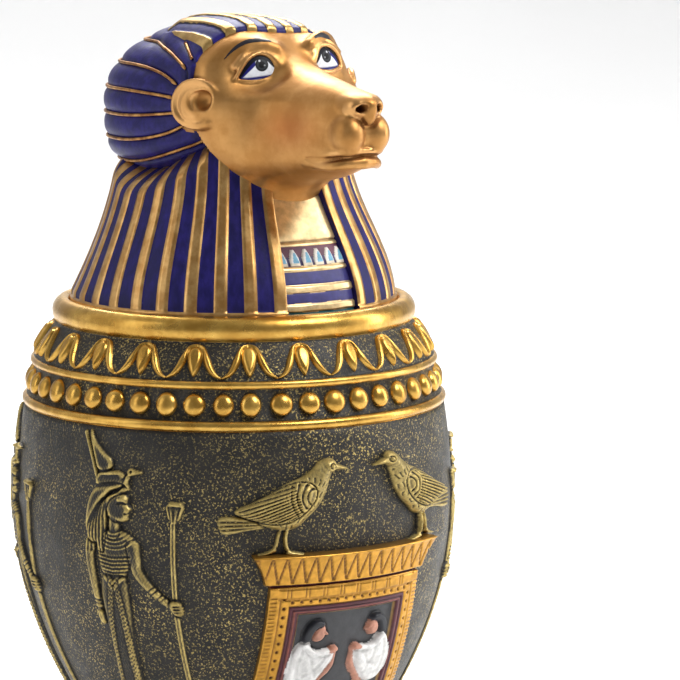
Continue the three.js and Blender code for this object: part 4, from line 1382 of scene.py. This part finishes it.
def headcloth():
    """The striped crown and the padded back, and the gold cords laid in its seams."""
    def field(x, f, z):
        return np.maximum(cloth(x, f, z), 181 - z)
    points, faces = solid(field, (-35, -45, 179), (35, 30, 231), 0.5)
    used, faces = np.unique(faces, return_inverse=True)
    points = points[used]
    crown = on_crown(*points.T)
    # seam marks where the blue is darkened as painted shade, and where its chips fall.
    seam = limit(1 - from_rib(points[:, 1], points[:, 2]) / 0.1) * (crown < 0.5)
    marks = {"seam": seam, "crown": crown}
    piece("headcloth", to_object(points), faces.reshape(-1, 4)[:, ::-1], [cloth_paint()],
          marks=marks)
    cords = []
    turn = np.linspace(-math.radians(170), math.radians(170), 400)
    for k in range(RIBS):
        level = RIB_SPAN * math.sin(math.radians(RIB_FROM + RIB_STEP * k))
        start = RIB_MIDDLE + level + 0 * turn
        path = np.stack([30 * np.sin(turn), -DOME_AT[0] - 32 * np.cos(turn), start], 1)
        # The cord's height and the cloth under it each depend on the other.
        for _ in range(30):
            wanted = RIB_MIDDLE + level * rib_reach(path[:, 1], path[:, 2])
            path[:, 2] = 0.4 * path[:, 2] + 0.6 * wanted
            path = settle(bare_cloth, path, 1)
        path[:, 2] = RIB_MIDDLE + level * rib_reach(path[:, 1], path[:, 2])
        path = settle(bare_cloth, path, 6)
        keep = np.hypot(path[:, 1] - EAR_AT[1], path[:, 2] - EAR_AT[2] - 1.0) > 8.4
        keep &= on_crown(*path.T) < 0.1
        keep &= np.abs(bare_cloth(*path.T)) < 0.3
        keep &= path[:, 1] < cloth_edge(path[:, 0], path[:, 2]) - 1.5
        for run in np.split(np.arange(len(turn)), np.flatnonzero(np.diff(keep.astype(int))) + 1):
            if keep[run[0]] and len(run) > 12:
                line = smooth_path(path[run[::2]], 40 + len(run) // 3)
                radii = np.full(len(line), 0.46)
                radii[:3], radii[-3:] = [0.2, 0.5, 0.62], [0.62, 0.5, 0.2]
                cords.append(tube(to_object(line), radii, 8))
    points, faces = together(cords)
    piece("back_cords", points, faces, [CORD_GOLD])


headcloth()


def bell_radius(angle, z):
    """The headcloth's flare: the front lappets swell out, the back falls straighter."""
    up = limit((z - SEAT) / (190 - SEAT))
    front = 34.4 + 6.2 * (1 + np.cos(math.pi * up))
    back = np.minimum(33.6 + 15.2 * (1 - up) ** 1.55, 46.9)
    round_by = np.abs(np.arctan2(np.sin(angle), np.cos(angle)))
    share = ease((math.pi - round_by - math.radians(60)) / math.radians(60))
    tuck = limit((z - 182) / 10) ** 2 * 7 * (1 - share)
    under = np.interp(np.degrees(round_by), [44, 50, 56, 67, 76, 84, 98, 112, 125],
                      [197, 192.4, 190.4, 187.6, 185, 184.2, 184.2, 187, 194])
    tuck = np.maximum(tuck, np.clip((z - under + 6) / 6, 0, 1.5) ** 2 * 5.2)
    tuck = tuck + 3.4 * up ** 1.5 * np.maximum(np.cos(angle), 0) ** 2
    return back + (front - back) * share - tuck - limit((z - 190) / 7) ** 2 * 8 * share


STRIPES, STRIPE_FIRST, STRIPE_PITCH, STRIPE_HALF = 32, 17.3, 10.497, 1.5
STRIPE_FOOT = 1.06


def bell():
    """The striped cloth round the shoulders, open over the breast."""
    # Each column keeps a place: the stripe it belongs to, and how far over it lies there,
    # with -1 and 1 the stripe's edges and beyond 1 the blue up to the next stripe.
    stripe, over = [], []
    for k in range(STRIPES):
        places = [-STRIPE_FOOT, -0.9, -0.35, 0.35, 0.9, STRIPE_FOOT]
        if k < STRIPES - 1:
            places += [1.2, 1.4, 1.6, 1.8]
        stripe += [k] * len(places)
        over += places
    stripe, over = np.array(stripe), np.array(over)
    gold = (over < 1).astype(int)[:-1]
    levels = np.concatenate([[SEAT + 0.3, SEAT + 0.9, SEAT + 1.7, SEAT + 2.2, SEAT + 2.4],
                             np.linspace(SEAT + 3.2, 197, 64)])
    centre = STRIPE_FIRST + STRIPE_PITCH * stripe[None]
    girth = bell_radius(np.radians(centre), np.minimum(levels, 182)[:, None])
    half = np.degrees((STRIPE_HALF + 0.022 * (girth - 34)) / girth)
    beyond = limit((over - STRIPE_FOOT) / (2 - STRIPE_FOOT))[None]
    gap = STRIPE_PITCH - 2 * STRIPE_FOOT * half
    angles = centre + np.where(over[None] <= STRIPE_FOOT, over[None] * half,
                               STRIPE_FOOT * half + beyond * gap)
    radius = bell_radius(np.radians(angles), levels[:, None])
    raised = (np.abs(over) < 1)[None]
    band = np.where(levels < SEAT + 2.3, 0.75, 0.0)[:, None]
    rise = np.maximum(np.where(raised, 0.42, 0.0), band)
    blue_puff = np.where(raised, 0, 0.12)
    points = around(np.radians(angles), radius - 0.35 + rise + blue_puff * (band == 0),
                    levels[:, None] + 0 * angles)
    faces = grid_faces(*radius.shape)
    sides = np.tile(gold, len(levels) - 1).reshape(len(levels) - 1, -1)
    sides[:4] = 1
    parts = [(points.reshape(-1, 3), faces)]
    side_list = [sides.ravel()]
    # The lappets' cut edges beside the breast, and the ledge the cloth stands on.
    for column in (0, -1):
        outer = points[:, column]
        inner = outer.copy()
        inner[:, :2] *= (1 - 5.5 / np.linalg.norm(outer[:, :2], axis=1))[:, None]
        pair = np.stack([inner, outer] if column == 0 else [outer, inner], axis=1)
        parts.append((pair.reshape(-1, 3), grid_faces(len(outer), 2)))
        side_list.append(np.zeros(len(outer) - 1, int))
    foot = [(MOUTH_RADIUS - 0.8, SEAT - 4.6), (MOUTH_RADIUS - 0.8, SEAT + 0.3),
            (SEAT_RADIUS - 0.9, SEAT + 0.3), (SEAT_RADIUS - 0.6, SEAT + 0.9)]
    turn = np.linspace(0, 2 * math.pi, 160, endpoint=False)
    profile_points = np.array(foot)
    ring = around(turn[None], profile_points[:, :1], profile_points[:, 1:] + 0 * turn[None])
    parts.append((ring.reshape(-1, 3), grid_faces(len(foot), 160, closed=True)))
    side_list.append(np.ones((len(foot) - 1) * 160, int))
    points, faces = together(parts)
    piece("striped_cloth", points, faces, [BLUE, STRIPE_GOLD],
          sides=np.concatenate(side_list))


bell()


def breast():
    """The gilt breast over a row of petals and bands of blue and gold, between the lappets."""
    sheet = Relief(-13.2, 13.2, SEAT + 0.2, 183, 0.2)
    u, v = sheet.u, sheet.v
    sheet.start_paint((0.84, 0.62, 0.32), 0.8)
    sheet.height[:] = 0.0
    blue, teal, cyan = (0.03, 0.026, 0.16), (0.01, 0.12, 0.15), (0.16, 0.42, 0.60)
    for low, high, lift, colour in ((145.4, 147.5, 0.0, teal), (147.6, 149.7, 0.55, None),
                                    (149.9, 152.7, 0.15, blue), (152.8, 154.8, 0.6, None),
                                    (155.0, 158.4, 0.15, blue), (158.5, 159.8, 0.65, None),
                                    (159.9, 165.2, 0.0, (0.12, 0.03, 0.06))):
        wave = 0.08 * np.sin(u * 0.6 + low)
        inside = (v > low + wave) & (v < high + wave)
        edge = np.minimum(v - low - wave, high + wave - v)
        sheet.height = np.where(inside, lift * limit(edge / 0.3) ** 0.5, sheet.height)
        if colour:
            sheet.tint(inside, colour)
    pitch = 3.9
    place = (u + 100 * pitch + 0.5) % pitch - pitch / 2
    up = limit((v - 160.0) / 4.6)
    outer = np.abs(place) - 1.6 * (1 - up ** 1.8) ** 0.7 - 0.1
    inner = np.abs(place - 0.35) - 1.0 * (1 - up ** 1.5)
    on_row = (v > 160.0) & (v < 164.4)
    sheet.tint(on_row & (outer < 0), (0.78, 0.74, 0.68))
    sheet.tint(on_row & (inner < 0) & (v < 163.6), cyan)
    sheet.tint(on_row & (v < 160.9) & (outer < 0), (0.75, 0.66, 0.5))
    sheet.tint(on_row & (np.abs(place) > 1.5) & (v < 162.5), (0.03, 0.02, 0.10))
    sheet.height += np.where(on_row, 0.45 * limit(-outer / 0.4) ** 0.5, 0)
    plate = np.maximum(np.abs(u) - 10.6, np.abs(v - 173.2) - 6.8)
    sheet.height = np.where(v > 165.2, 0.25, sheet.height)
    sheet.height = np.where(plate < 0, 0.25 + 0.9 * limit(-plate / 9) ** 0.6, sheet.height)
    sheet.height -= 0.45 * limit(1 - (np.abs(plate) / 0.45) ** 2) * (v > 165)
    dark = limit(1 - np.abs(plate) / 0.4) * (v > 165)
    sheet.stain(dark, (0.14, 0.06, 0.02))
    gaps = (np.abs(u) > 11.4) & (v < 166.4)
    sheet.tint(gaps, (0.02, 0.02, 0.07))

    def surface(across, up_to, height):
        radius = bell_radius(np.zeros_like(up_to), up_to)
        sunk = 1.7 + 0.03 * (up_to - SEAT)
        return around(across / (radius - sunk), radius - sunk + height, up_to)

    points, faces, marks = sheet.build(surface, sheet.painted())
    piece("breast_ornament", points, faces, [DETAIL], marks=marks)


breast()

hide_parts("jar")
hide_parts("lid")


# ---- Floor, light and camera ----
BACKDROP_BEARING, BACKDROP_HALF, BACKDROP_TOP = 33.5, 3000, 2200
BEND_AT, BEND = 1150, 500


def backdrop():
    """A pale floor that bends up into a wall behind the jar."""
    look = Look("pale_floor")
    shade = look.step(look.noise(300.0, 2), 0.3, 0.7)
    material = look.finish(Base_Color=look.blend(shade, (0.90, 0.90, 0.90), (0.94, 0.94, 0.94)),
                           Roughness=0.7)
    turn = np.radians(BACKDROP_BEARING)
    runs = [(-BACKDROP_HALF, 0), (BEND_AT, 0)]
    for t in np.linspace(0.1, 1.5, 14):
        runs.append((BEND_AT + BEND * math.sin(t), BEND * (1 - math.cos(t))))
    runs.append((BEND_AT + BEND, BACKDROP_TOP))
    across = np.linspace(-BACKDROP_HALF, BACKDROP_HALF, 3)
    rows = []
    for far, high in runs:
        rows.append([(s * math.cos(turn) + far * math.sin(turn),
                      -s * math.sin(turn) + far * math.cos(turn), high) for s in across])
    points = np.array(rows).reshape(-1, 3)
    points[:, 2] -= 0.2
    faces = grid_faces(len(runs), 3)
    mesh = bpy.data.meshes.new("floor")
    mesh.from_pydata((points / 1000).tolist(), [], faces.tolist())
    mesh.materials.append(material)
    for polygon in mesh.polygons:
        polygon.use_smooth = True
    floor = bpy.data.objects.new("floor", mesh)
    bpy.context.scene.collection.objects.link(floor)


backdrop()


LIGHTS_AIM = 0.13


def soft_light(name, azimuth, elevation, distance, size, power):
    """An area light aimed at the jar, from a bearing round it (0 is its front, + its left)."""
    light = bpy.data.lights.new(name, "AREA")
    light.shape = "RECTANGLE"
    light.size, light.size_y = size
    light.energy = power
    a, e = math.radians(azimuth), math.radians(elevation)
    spot = np.array([math.sin(a) * math.cos(e), -math.cos(a) * math.cos(e), math.sin(e)]) * distance
    spot[2] += LIGHTS_AIM
    lamp = bpy.data.objects.new(name, light)
    bpy.context.scene.collection.objects.link(lamp)
    lamp.location = spot
    aim = -np.array(spot) + [0, 0, LIGHTS_AIM]
    lamp.rotation_euler = Vector(aim).to_track_quat("-Z", "Y").to_euler()


soft_light("key", 24, 48, 0.9, (0.4, 0.4), 6)
soft_light("left_box", -100, 20, 0.9, (0.3, 0.8), 1.5)
soft_light("right_box", 66, 16, 0.9, (0.25, 0.8), 3.5)
soft_light("back_wall", 146, 50, 1.3, (0.8, 0.8), 22)


def studio():
    """A white room: bright behind the jar and dim in front of it."""
    world = bpy.data.worlds.new("studio")
    world.use_nodes = True
    nodes, links = world.node_tree.nodes, world.node_tree.links
    place = nodes.new("ShaderNodeTexCoord").outputs["Generated"]
    along = nodes.new("ShaderNodeVectorMath")
    along.operation = "DOT_PRODUCT"
    links.new(place, along.inputs[0])
    along.inputs[1].default_value = (0.556, 0.831, 0.0)
    light = nodes.new("ShaderNodeMapRange")
    light.interpolation_type = "SMOOTHSTEP"
    links.new(along.outputs["Value"], light.inputs["Value"])
    for key, value in (("From Min", -0.5), ("From Max", 0.6), ("To Min", 0.22), ("To Max", 1.0)):
        light.inputs[key].default_value = value
    links.new(light.outputs["Result"], nodes["Background"].inputs["Strength"])
    nodes["Background"].inputs["Color"].default_value = (1, 1, 1, 1)
    return world


bpy.context.scene.world = studio()
bpy.context.scene.view_settings.view_transform = "Standard"


CAMERA_AWAY, CAMERA_AIM, SENSOR = 1.05, 0.134, 36
VIEW_WIDE = 0.1972  # metres across the picture, at the jar's axis


def aim_camera():
    """A long lens a little above the jar, turned so that the jar stands left of the middle."""
    turn, tilt, yaw = math.radians(-33.6), math.radians(8.0), math.radians(1.69)
    away, aim = CAMERA_AWAY, CAMERA_AIM
    place = Vector((0, -away * math.cos(tilt), away * math.sin(tilt) + aim))
    look = Vector((math.sin(yaw) * math.cos(tilt), math.cos(yaw) * math.cos(tilt), -math.sin(tilt)))
    spin = Matrix.Rotation(turn, 3, "Z")
    data = bpy.data.cameras.new("camera")
    data.sensor_width = SENSOR
    data.lens = SENSOR * away / VIEW_WIDE
    camera = bpy.data.objects.new("camera", data)
    bpy.context.scene.collection.objects.link(camera)
    camera.location = spin @ place
    camera.rotation_euler = (spin @ look).to_track_quat("-Z", "Y").to_euler()
    bpy.context.scene.camera = camera


aim_camera()
